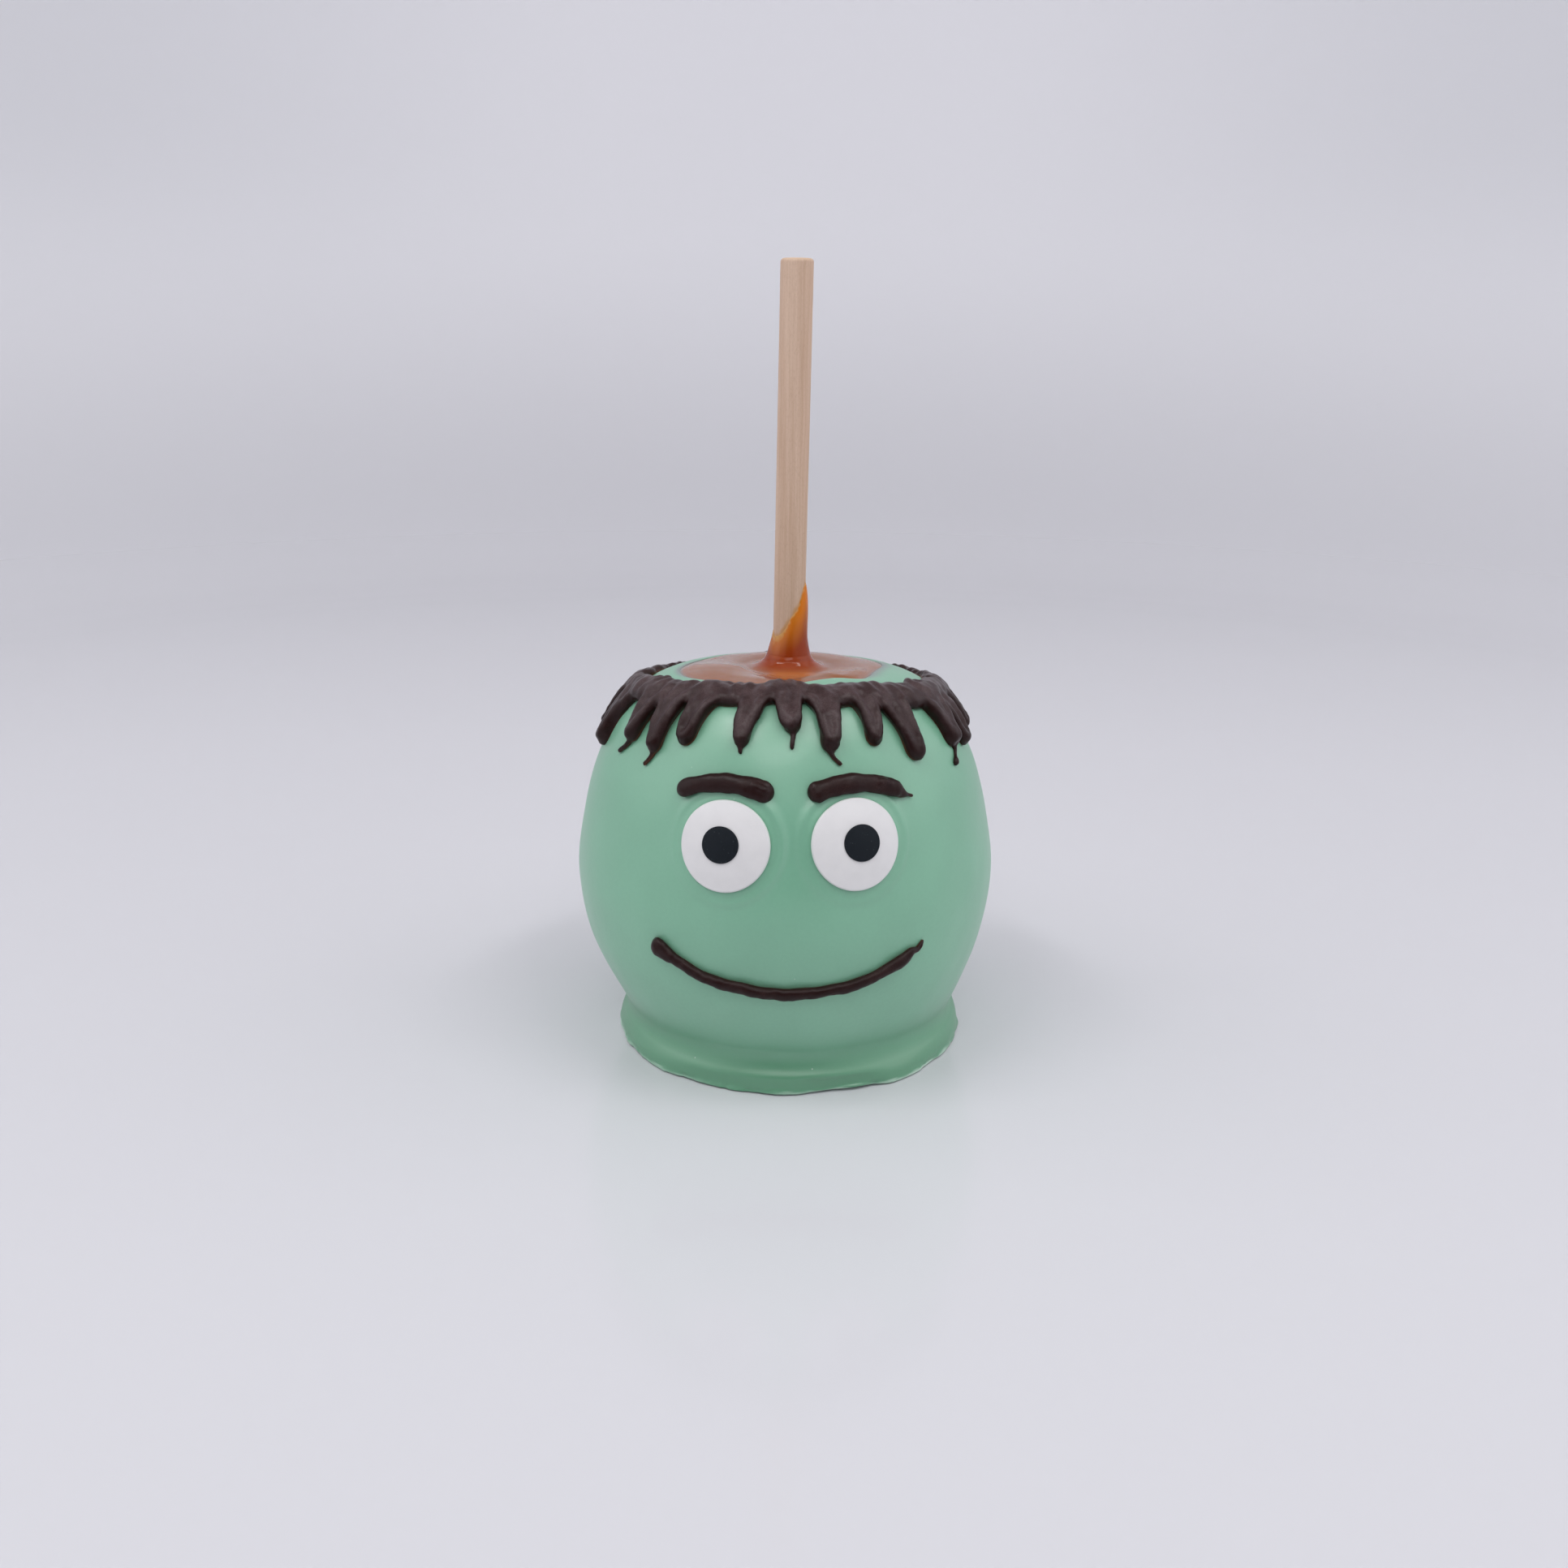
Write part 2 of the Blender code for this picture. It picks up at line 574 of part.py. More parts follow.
def build_smile():
    """Long piped line that curves upwards, with a small bulb at both ends."""
    t = end_spacing(27)
    azimuth = FACE_AZIMUTH + SMILE_AZIMUTH * (2.0 * t - 1.0)
    step = step_at_height(SMILE_HEIGHT + SMILE_RISE * np.abs(2.0 * t - 1.0) ** 2.2)
    ends = bead_ends(t, 0.035)
    bulb = SMILE_BULB * np.clip(1.0 - np.minimum(t, 1.0 - t) / 0.09, 0.0, 1.0)
    width = (SMILE_HALF_WIDTH + bulb) * ends
    seated_bead("smile", azimuth, step, width, (SMILE_CREST + 0.5 * bulb) * ends)


def main():
    """Build every piece of the caramel apple."""
    clear_scene()
    build_coated_apple()
    build_caramel_pool()
    build_stick()
    build_chocolate_drips()
    for side, sign in (("left", -1.0), ("right", 1.0)):
        build_eye(side, sign)
        build_brow(side, sign)
    build_smile()


main()
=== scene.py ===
"""Caramel apple: green candy coat, caramel pool, wooden stick, piped chocolate and sugar eyes.

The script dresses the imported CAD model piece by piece, in the model's own frame. Lengths are
metres and +Z is up. The decorated front faces -Y. Azimuth 0 is the front of the apple, and it
grows towards +X. A place on the coat is an azimuth and a step, which is the length along the
apple's outline from the crease above the foot.
"""
import logging
import math
import random
from dataclasses import dataclass, field
from enum import Enum
from typing import Callable, Optional, Sequence, Union

import bpy
import numpy as np
from mathutils import Matrix, Vector


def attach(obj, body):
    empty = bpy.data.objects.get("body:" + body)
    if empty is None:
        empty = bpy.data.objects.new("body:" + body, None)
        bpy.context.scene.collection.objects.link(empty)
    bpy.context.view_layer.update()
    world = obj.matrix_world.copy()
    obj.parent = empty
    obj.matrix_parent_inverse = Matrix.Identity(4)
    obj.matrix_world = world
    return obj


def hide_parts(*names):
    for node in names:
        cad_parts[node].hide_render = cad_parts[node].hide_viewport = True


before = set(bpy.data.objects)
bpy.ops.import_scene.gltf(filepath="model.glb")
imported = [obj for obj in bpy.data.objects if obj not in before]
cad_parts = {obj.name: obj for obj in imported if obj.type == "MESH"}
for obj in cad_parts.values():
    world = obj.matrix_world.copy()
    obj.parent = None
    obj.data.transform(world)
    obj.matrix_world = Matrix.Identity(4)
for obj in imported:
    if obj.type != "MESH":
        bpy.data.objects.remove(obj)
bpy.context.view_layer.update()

Array = np.ndarray
Colour = tuple[float, float, float]
Socket = bpy.types.NodeSocket
Input = Union[Socket, float, Colour]

MM = 0.001
TURN = 2.0 * math.pi
LOG = logging.getLogger("caramel_apple")


# ---------------------------------------------------------------- shapes as numpy arrays


def smooth_step(value: Array, low: float, high: float) -> Array:
    """0 below low, 1 above high, and a cubic between them without corners.

    Args:
        value: numbers of any shape.
        low: where the rise starts.
        high: where it ends. It may be below low, which turns the rise into a fall.

    Returns:
        Numbers from 0 to 1 in the same shape.
    """
    t = np.clip((value - low) / (high - low), 0.0, 1.0)
    return t * t * (3.0 - 2.0 * t)


def ripple(points: Array, wavelength: float, seed: int, waves: int = 9) -> Array:
    """Smooth irregularity in space: a sum of sine waves in seeded directions.

    Args:
        points: places, with the three coordinates last.
        wavelength: mean distance from crest to crest.
        seed: seed of the directions, lengths and phases.
        waves: how many waves are added.

    Returns:
        One number a point, with a spread of about 0.7 and mostly between -1.5 and 1.5.
    """
    draw = np.random.default_rng(seed)
    direction = draw.normal(size=(waves, 3))
    direction /= np.linalg.norm(direction, axis=1)[:, None]
    number = TURN / (wavelength * draw.uniform(0.7, 1.4, waves))
    phase = draw.uniform(0.0, TURN, waves)
    return np.sin(points @ (direction * number[:, None]).T + phase).sum(axis=-1) / math.sqrt(waves)


def curve_through(knots: Array, places: Array, at: Array) -> Array:
    """Cubic curve through knots, whose slope at a knot is the mean slope of its neighbours.

    Args:
        knots: points or whole rings, one for each place.
        places: rising parameter of each knot.
        at: parameters to read the curve at.

    Returns:
        The points or rings at these parameters.
    """
    slope = np.gradient(knots, places, axis=0, edge_order=2)
    left = np.clip(np.searchsorted(places, at, side="right") - 1, 0, len(places) - 2)
    span = places[left + 1] - places[left]
    shape = (-1,) + (1,) * (knots.ndim - 1)
    t = ((at - places[left]) / span).reshape(shape)
    span = span.reshape(shape)
    return (
        (2 * t**3 - 3 * t**2 + 1) * knots[left] + (t**3 - 2 * t**2 + t) * span * slope[left]
        + (3 * t**2 - 2 * t**3) * knots[left + 1] + (t**3 - t**2) * span * slope[left + 1]
    )


def round_table(knots_mm: tuple, azimuth: Array) -> Array:
    """Lengths on a smooth curve through a table that goes once round the apple.

    The last three rows are repeated before the first, and the first three after the last.

    Args:
        knots_mm: rows of an azimuth in degrees and a length in millimetres.
        azimuth: azimuths to read the table at.

    Returns:
        A length for each azimuth.
    """
    knots = np.array(knots_mm)
    turn = np.radians(np.concatenate((knots[-3:, 0] - 360.0, knots[:, 0], knots[:3, 0] + 360.0)))
    lengths = np.concatenate((knots[-3:, 1], knots[:, 1], knots[:3, 1])) * MM
    return curve_through(lengths, turn, (np.asarray(azimuth) + math.pi) % TURN - math.pi)


def run_length(points: Array) -> Array:
    """Length from the first point to each point of a line, in the same order."""
    return np.concatenate(([0.0], np.cumsum(np.linalg.norm(np.diff(points, axis=0), axis=-1))))


def smooth_rings(rings: Sequence[Array], count: int, guides: int = 0) -> Array:
    """Many rings on the smooth surface through a few, evenly spaced along the surface.

    Args:
        rings: rings of points with as many columns each.
        count: how many rings to return.
        guides: how many of the last rings only guide the surface and aren't reached.

    Returns:
        An array of rings, from the first given to the last that is reached.
    """
    knots = np.stack(rings)
    steps = np.linalg.norm(np.diff(knots, axis=0), axis=-1).mean(axis=1)
    places = np.concatenate(([0.0], np.cumsum(steps)))
    return curve_through(knots, places, np.linspace(0.0, places[-1 - guides], count))


def columns_of(count: int, crowding: float = 0.0) -> Array:
    """Azimuths of the columns of a full turn, from the back round to the back.

    Args:
        count: how many columns.
        crowding: 0 for even columns, up to below 1 for columns closer together at the front.

    Returns:
        Rising azimuths from -pi up to just below pi.
    """
    even = np.arange(count) * TURN / count - math.pi
    return even - crowding * np.sin(even)


def grid_quads(shape: tuple[int, int], closed: tuple[bool, bool] = (False, False)) -> Array:
    """Corners of the quads of a grid whose points are numbered row by row.

    Column c of row r is joined to column c + 1 of the same row, and to both in row r + 1.

    Args:
        shape: how many rows and columns of points there are.
        closed: whether the last row joins the first, and the last column the first.

    Returns:
        Four point numbers a quad, in order round it.
    """
    rows, columns = shape
    cells = [np.arange(count if joined else count - 1) for count, joined in zip(shape, closed)]
    row, column = np.meshgrid(*cells, indexing="ij")
    after = (column + 1) % columns
    low, high = row * columns, (row + 1) % rows * columns
    return np.stack((low + column, low + after, high + after, high + column), axis=-1).reshape(-1, 4)


NO_TRIANGLES = np.zeros((0, 3), dtype=int)


@dataclass
class Shell:
    """Faces and points of one mesh, as arrays."""

    points: Array
    quads: Array
    triangles: Array

    @classmethod
    def from_rings(cls, rings: Array, start: Optional[Array] = None,
                   end: Optional[Array] = None) -> "Shell":
        """Join each ring of points to the next, and close the two ends.

        The points are a function on a grid, ring by column.

        Args:
            rings: points as ring, column, coordinate.
            start: pole before the first ring.
            end: pole after the last ring. Without poles the last ring joins the first.

        Returns:
            The shell with its faces outwards.
        """
        count, columns = rings.shape[:2]
        quads = grid_quads((count, columns), (start is None, True))
        points = rings.reshape(-1, 3)
        triangles = NO_TRIANGLES
        if start is not None:
            pole, ring = len(points), np.arange(columns)
            after, last = (ring + 1) % columns, (count - 1) * columns
            triangles = np.concatenate((
                np.stack((np.full(columns, pole), after, ring), axis=-1),
                np.stack((np.full(columns, pole + 1), last + ring, last + after), axis=-1),
            ))
            points = np.concatenate((points, np.reshape((start, end), (2, 3))))
        shell = cls(points, quads, triangles)
        if shell.volume() < 0.0:
            shell = cls(points, quads[:, ::-1], triangles[:, ::-1])
        return shell

    @classmethod
    def joined(cls, shells: Sequence["Shell"]) -> "Shell":
        """Several shells as one set of arrays, not fused."""
        starts = np.concatenate(([0], np.cumsum([len(shell.points) for shell in shells])[:-1]))
        return cls(
            np.concatenate([shell.points for shell in shells]),
            np.concatenate([shell.quads + start for shell, start in zip(shells, starts)]),
            np.concatenate([shell.triangles + start for shell, start in zip(shells, starts)]),
        )

    def volume(self) -> float:
        """Signed volume: the sum over triangles of the triple product of their corners.

        Returns:
            Cubic metres, below 0 where the faces point inwards.
        """
        fans = np.concatenate((self.quads[:, [0, 1, 2]], self.quads[:, [0, 2, 3]], self.triangles))
        a, b, c = (self.points[fans[:, corner]] for corner in range(3))
        return float(np.einsum("ij,ij->i", a, np.cross(b, c)).sum() / 6.0)

    def to_mesh(self, name: str) -> bpy.types.Mesh:
        """Smooth-shaded Blender mesh of this shell, filled through foreach_set.

        Args:
            name: the mesh's name.

        Returns:
            The new mesh.
        """
        sizes = np.concatenate((np.full(len(self.quads), 4), np.full(len(self.triangles), 3)))
        corners = np.concatenate((self.quads.ravel(), self.triangles.ravel()))
        mesh = bpy.data.meshes.new(name)
        mesh.vertices.add(len(self.points))
        mesh.vertices.foreach_set("co", self.points.ravel())
        mesh.loops.add(len(corners))
        mesh.loops.foreach_set("vertex_index", corners)
        mesh.polygons.add(len(sizes))
        mesh.polygons.foreach_set("loop_start", np.cumsum(sizes) - sizes)
        mesh.update(calc_edges=True)
        mesh.shade_smooth()
        return mesh


def melt(name: str, shells: Sequence[Shell], voxel: float, rounds: int) -> bpy.types.Mesh:
    """One closed skin round overlapping shells, as when soft beads run together.

    Args:
        name: name of the mesh.
        shells: closed shells that overlap.
        voxel: size of the grid that the skin is laid on.
        rounds: rounds of smoothing, which fill the creases between the beads.

    Returns:
        The fused mesh.
    """
    rough = bpy.data.objects.new(f"{name}_rough", Shell.joined(shells).to_mesh(f"{name}_rough"))
    bpy.context.scene.collection.objects.link(rough)
    skin = rough.modifiers.new("skin", "REMESH")
    skin.mode = "VOXEL"
    skin.voxel_size = voxel
    soften = rough.modifiers.new("soften", "SMOOTH")
    soften.factor = 0.5
    soften.iterations = rounds
    graph = bpy.context.evaluated_depsgraph_get()
    mesh = bpy.data.meshes.new_from_object(rough.evaluated_get(graph))
    mesh.name = name
    old = rough.data
    bpy.data.objects.remove(rough, do_unlink=True)
    bpy.data.meshes.remove(old)
    mesh.shade_smooth()
    return mesh


def mesh_points(mesh: bpy.types.Mesh, what: str = "co") -> Array:
    """Read a mesh's points through foreach_get.

    Args:
        mesh: the mesh.
        what: co for their places, or normal for their normals.

    Returns:
        An array of rows of three.
    """
    values = np.empty(3 * len(mesh.vertices))
    mesh.vertices.foreach_get(what, values)
    return values.reshape(-1, 3)


def tag(mesh: bpy.types.Mesh, name: str, values: Array) -> None:
    """Store one number a point, which a material reads by this name."""
    mesh.attributes.new(name, "FLOAT", "POINT").data.foreach_set("value", values.ravel())


# ---------------------------------------------------------------- where things are


@dataclass
class AppleSurface:
    """The coat's surface, as a function of azimuth and of length along the apple's outline."""

    outline_mm: tuple = (
        (34.0, 5.4), (37.2, 12.0), (41.6, 24.0), (43.2, 37.0), (41.3, 50.0),
        (37.6, 62.0), (32.4, 70.8), (27.7, 75.1), (22.5, 76.7), (18.0, 77.0), (11.0, 77.1),
    )
    samples: int = 300
    shift: float = -1.3 * MM
    shift_height: float = 26.0 * MM
    tilt: float = math.radians(2.6)
    tilt_start: float = 60.0 * MM
    tilt_full: float = 75.0 * MM
    crease_lift_front: float = 1.3 * MM
    crease_lift_fade: float = 20.0 * MM
    lobe_depth: float = 0.3 * MM
    pool_edge_mm: tuple = (
        (-180, 24.0), (-160, 23.2), (-140, 22.0), (-120, 21.2), (-100, 21.6), (-80, 21.9), (-62, 21.5),
        (-46, 20.0), (-34, 19.6), (-20, 19.6), (-8, 18.4), (4, 16.6), (16, 14.9), (30, 14.2), (44, 14.8),
        (53, 17.5), (66, 17.6), (80, 17.5), (92, 18.4), (106, 20.6), (122, 22.2), (145, 24.0), (162, 24.4),
    )
    foot_edge: float = 36.8 * MM
    foot_wave: float = 0.3 * MM
    top: float = 77.0 * MM
    lobe_height: float = 60.0 * MM
    lobe_radius: float = 30.0 * MM
    middle_height: float = 38.0 * MM
    step: Array = field(init=False)
    radius: Array = field(init=False)
    height: Array = field(init=False)

    def __post_init__(self) -> None:
        """Read the smooth outline off at even steps of its length."""
        knots = np.array(self.outline_mm) * MM
        places = run_length(knots)
        curve = curve_through(knots, places, np.linspace(0.0, places[-1], 8 * self.samples))
        length = run_length(curve)
        self.step = np.linspace(0.0, length[-1], self.samples)
        self.radius = np.interp(self.step, length, curve[:, 0])
        self.height = np.interp(self.step, length, curve[:, 1])
        self.slope_radius = np.gradient(self.radius, self.step)
        self.slope_height = np.gradient(self.height, self.step)
        self.widest = int(np.argmax(self.radius))

    def step_at_radius(self, radius: Array) -> Array:
        """Step at which the upper half of the outline has this radius."""
        return np.interp(-radius, -self.radius[self.widest:], self.step[self.widest:])

    def step_at_height(self, height: Array) -> Array:
        """Step at which the outline has this height."""
        return np.interp(height, self.height, self.step)

    def radius_at(self, step: Array) -> Array:
        """Radius of the outline at a step."""
        return np.interp(step, self.step, self.radius)

    def height_at(self, step: Array) -> Array:
        """Height of the outline at a step."""
        return np.interp(step, self.step, self.height)

    def crease_lift(self, azimuth: Array, height: Array) -> Array:
        """How far the outline is raised near the crease, most at the front.

        Args:
            azimuth: azimuths.
            height: heights of the outline.

        Returns:
            What is added to the heights.
        """
        front = (0.5 + 0.5 * np.cos(azimuth)) ** 2
        fade = np.clip(1.0 - (height - self.height[0]) / self.crease_lift_fade, 0.0, 1.0)
        return self.crease_lift_front * front * fade**2

    def around(self, azimuth: Array, radius: Array, height: Array) -> Array:
        """Points at an azimuth, a radius from the body's axis and a height.

        The axis moves aside between the foot and the belly, and near the top the height is
        tilted, so that the flat top dips towards the back.

        Args:
            azimuth: azimuths, which broadcast with the other two.
            radius: distances from the axis.
            height: heights before the tilt.

        Returns:
            Points with the three coordinates last.
        """
        x = radius * np.sin(azimuth) + self.shift * smooth_step(height, 0.0, self.shift_height)
        y = -radius * np.cos(azimuth)
        z = height - y * math.tan(self.tilt) * smooth_step(height, self.tilt_start, self.tilt_full)
        return np.stack(np.broadcast_arrays(x, y, z), axis=-1)

    def point(self, azimuth: Array, step: Array, lift: Array = 0.0) -> Array:
        """Points on the coat, or raised from it along the outline's normal.

        Args:
            azimuth: azimuths.
            step: lengths along the outline.
            lift: distances above the coat.

        Returns:
            Points with the three coordinates last.
        """
        azimuth, step, lift = np.broadcast_arrays(azimuth, step, lift)
        radius, height = self.radius_at(step), self.height_at(step)
        shoulder = np.clip(height / self.lobe_height, 0.0, 1.0) ** 4
        shoulder = shoulder * np.clip(radius / self.lobe_radius, 0.0, 1.0)
        radius = radius + self.lobe_depth * shoulder * np.cos(5.0 * azimuth + 0.6)
        height = height + self.crease_lift(azimuth, height)
        radius = radius + lift * np.interp(step, self.step, self.slope_height)
        height = height - lift * np.interp(step, self.step, self.slope_radius)
        return self.around(azimuth, radius, height)

    def normal(self, azimuth: Array, step: Array) -> Array:
        """Unit vectors that point away from the coat."""
        vector = self.point(azimuth, step, MM) - self.point(azimuth, step)
        return vector / np.linalg.norm(vector, axis=-1)[..., None]

    def lift_of(self, points: Array) -> Array:
        """Height of points above the coat, measured away from the middle of the apple.

        A point's distance from the middle is compared with the outline's at the same
        elevation angle.

        Args:
            points: rows of points.

        Returns:
            A distance for each point, below 0 inside the apple.
        """
        height = points[:, 2]
        height = height + points[:, 1] * math.tan(self.tilt) * smooth_step(
            height, self.tilt_start, self.tilt_full)
        radius = np.hypot(points[:, 0] - self.shift, points[:, 1])
        middle = self.middle_height
        angle = np.arctan2(self.height - middle, self.radius)
        reach = np.hypot(self.height - middle, self.radius)
        outline = np.interp(np.arctan2(height - middle, radius), angle, reach)
        return np.hypot(height - middle, radius) - outline

    def pool_radius(self, azimuth: Array) -> Array:
        """Radius of the caramel pool's edge, where the candy laps over it, most at the right front."""
        return round_table(self.pool_edge_mm, azimuth)

    def foot_radius(self, azimuth: Array) -> Array:
        """Radius of the foot's wavy edge."""
        wave = np.cos(4.0 * azimuth - 2.6) + 0.5 * np.cos(9.0 * azimuth + 1.0)
        return self.foot_edge + self.foot_wave * wave


@dataclass
class StickAxis:
    """Straight, slightly leaning axis of the wooden stick."""

    radius: float = 3.175 * MM
    length: float = 140.0 * MM
    top: float = 156.0 * MM
    foot_height: float = 77.0 * MM
    foot_x: float = -1.2 * MM
    lean_right: float = math.radians(0.57)
    lean_back: float = math.radians(0.4)

    @property
    def bottom(self) -> float:
        """Height of the lower end, inside the apple."""
        return self.top - self.length

    def centre(self, height: Array) -> Array:
        """Points of the axis.

        Args:
            height: their heights.

        Returns:
            Points with the three coordinates last.
        """
        above = height - self.foot_height
        x = self.foot_x + above * math.tan(self.lean_right)
        return np.stack(np.broadcast_arrays(x, above * math.tan(self.lean_back), height), axis=-1)

    def ring(self, azimuth: Array, radius: Array, height: Array) -> Array:
        """Level ring of points round the axis.

        Args:
            azimuth: azimuths as seen from the axis.
            radius: distances from the axis.
            height: heights.

        Returns:
            Points with the three coordinates last.
        """
        flat = np.zeros_like(azimuth)
        offset = np.broadcast_arrays(radius * np.sin(azimuth), -radius * np.cos(azimuth), flat)
        return self.centre(height) + np.stack(offset, axis=-1)


class Side(Enum):
    """The two sides of the face, as seen from the front, with the sign of their azimuth."""

    LEFT = -1.0
    RIGHT = 1.0


@dataclass
class FaceLayout:
    """Where the eyes, the brows and the smile lie on the coat."""

    middle: float = math.radians(1.3)
    eye_azimuth: float = math.radians(17.1)
    eye_height: float = 52.7 * MM
    eye_rise_right: float = 0.35 * MM
    eye_radius: float = 8.5 * MM

    def azimuth(self, side: Side, factor: float = 1.0) -> float:
        """Azimuth of an eye's middle, or of a place at a factor of its distance."""
        return self.middle + side.value * self.eye_azimuth * factor

    def height(self, side: Side) -> float:
        """Height of the outline at an eye's middle: the right one sits a little higher."""
        return self.eye_height + (self.eye_rise_right if side is Side.RIGHT else 0.0)

    def from_eye(self, apple: AppleSurface, side: Side, azimuth: Array, step: Array) -> tuple:
        """Distance across and up from an eye's middle, measured on the coat."""
        away = (azimuth - self.azimuth(side) + math.pi) % TURN - math.pi
        return away * apple.radius_at(step), step - apple.step_at_height(self.height(side))


# ---------------------------------------------------------------- finishes


class Nodes:
    """Node tree of one material, with a short call for each kind of node used here."""

    def __init__(self, name: str) -> None:
        """Start a material whose surface is a Principled shader.

        Args:
            name: the material's name.
        """
        self.material = bpy.data.materials.new(name)
        self.material.use_nodes = True
        self.tree = self.material.node_tree
        self.shader = self.tree.nodes["Principled BSDF"]
        self.object_space = self.node("TexCoord", {}).outputs["Object"]

    def feed(self, socket: Socket, value: Input) -> None:
        """Link a socket to an input socket, or set the input's own value.

        Args:
            socket: the input.
            value: an output socket, a number, a vector or a colour without its alpha.
        """
        if isinstance(value, bpy.types.NodeSocket):
            self.tree.links.new(value, socket)
        elif isinstance(value, tuple) and len(socket.default_value) == 4:
            socket.default_value = (*value, 1.0)
        else:
            socket.default_value = value

    def node(self, kind: str, inputs: dict, **options: str) -> bpy.types.Node:
        """Add a node.

        Args:
            kind: its type, without ShaderNode in front.
            inputs: what to feed to its inputs, by their names or numbers.
            options: its other settings.

        Returns:
            The new node.
        """
        node = self.tree.nodes.new("ShaderNode" + kind)
        for option, choice in options.items():
            setattr(node, option, choice)
        for key, value in inputs.items():
            self.feed(node.inputs[key], value)
        return node

    def set(self, **constants: Input) -> None:
        """Set or link the shader's sockets, whose names have _ in place of spaces."""
        for name, value in constants.items():
            self.feed(self.shader.inputs[name.replace("_", " ")], value)

    def moved(self, scale: Colour = (1.0, 1.0, 1.0), turn: Colour = (0.0, 0.0, 0.0)) -> Socket:
        """Object coordinates, turned and stretched by a Mapping node."""
        inputs = {"Vector": self.object_space, "Rotation": turn, "Scale": scale}
        return self.node("Mapping", inputs).outputs["Vector"]

    def noise(self, scale: float, detail: float = 3.0, vector: Optional[Socket] = None,
              rough: float = 0.5, twist: float = 0.0) -> Socket:
        """Cloudy noise from 0 to 1.

        Args:
            scale: features a metre.
            detail: how many finer layers there are.
            vector: coordinates, or None for Object coordinates.
            rough: strength of the finer layers.
            twist: how far the noise is bent by itself.

        Returns:
            The noise.
        """
        return self.node("TexNoise", {
            "Vector": vector or self.object_space, "Scale": scale, "Detail": detail,
            "Roughness": rough, "Distortion": twist,
        }).outputs["Fac"]

    def cells(self, scale: float, vector: Optional[Socket] = None) -> tuple[Socket, Socket]:
        """Distance to the nearest seed point, and that point's random colour."""
        node = self.node("TexVoronoi", {"Vector": vector or self.object_space, "Scale": scale})
        return node.outputs["Distance"], node.outputs["Color"]

    def coordinate(self, axis: int) -> Socket:
        """Object coordinate along X, Y or Z, by number."""
        return self.node("SeparateXYZ", {0: self.object_space}).outputs[axis]

    def stored(self, name: str) -> Socket:
        """Number that the mesh keeps at each point under this name."""
        return self.node("Attribute", {}, attribute_name=name).outputs["Fac"]

    def span(self, value: Input, low: float, high: float, start: float = 0.0,
             end: float = 1.0) -> Socket:
        """Value moved from the span low to high onto start to end, smoothly and clipped."""
        inputs = {"Value": value, "From Min": low, "From Max": high, "To Min": start, "To Max": end}
        return self.node("MapRange", inputs, interpolation_type="SMOOTHSTEP").outputs["Result"]

    def math(self, operation: str, first: Input, second: Input = 0.0) -> Socket:
        """Result of a Math node, such as ADD or SUBTRACT."""
        return self.node("Math", {0: first, 1: second}, operation=operation).outputs[0]

    def times(self, first: Input, second: Input) -> Socket:
        """Product of two numbers, or of a pattern and a strength."""
        return self.math("MULTIPLY", first, second)

    def mix(self, share: Input, first: Input, second: Input) -> Socket:
        """Colour between the first and the second, by a share from 0 to 1."""
        return self.node("Mix", {0: share, 6: first, 7: second}, data_type="RGBA").outputs[2]

    def distance(self, vector: Socket, centre: Colour) -> Socket:
        """Distance of the vector's tip from a centre."""
        return self.node("VectorMath", {0: vector, 1: centre}, operation="DISTANCE").outputs["Value"]

    def spots(self, scale: float, size: float, first: float, second: float,
              vector: Optional[Socket] = None) -> tuple[Socket, Socket]:
        """Small soft-edged spots of two kinds, each in a share of the cells.

        Args:
            scale: cells a metre.
            size: radius of a spot, as a share of a cell.
            first: share of the cells with a spot of the first kind.
            second: share of the cells with a spot of the second kind.
            vector: coordinates, or None for Object coordinates.

        Returns:
            Two masks, 1 in a spot of their kind and 0 elsewhere.
        """
        distance, colour = self.cells(scale, vector)
        spot = self.span(distance, size, 0.4 * size)
        number = self.node("SeparateColor", {0: colour}).outputs[0]
        return (self.times(spot, self.math("LESS_THAN", number, first)),
                self.times(spot, self.math("GREATER_THAN", number, 1.0 - second)))

    def bump(self, height: Socket, depth: float, under: Optional[Socket] = None) -> Socket:
        """Normal of a relief.

        Args:
            height: the relief, from 0 to 1.
            depth: what its height of 1 stands for.
            under: normal of a coarser relief that it lies on.

        Returns:
            The normal for the shader.
        """
        inputs = {"Height": height, "Distance": depth}
        if under is not None:
            inputs["Normal"] = under
        return self.node("Bump", inputs).outputs["Normal"]


@dataclass(frozen=True)
class Finish:
    """A finish of the record: its slot's name, and how its material is made."""

    slot: str

    def paint(self, nodes: Nodes) -> None:
        """Set the shader and its patterns. Each finish has its own way.

        Args:
            nodes: the finish's new material.
        """
        raise NotImplementedError

    def material(self) -> bpy.types.Material:
        """The finish as a Blender material.

        Returns:
            The material, which is made at the first call.
        """
        name = f"{self.slot}_finish"
        if name not in bpy.data.materials:
            self.paint(Nodes(name))
        return bpy.data.materials[name]


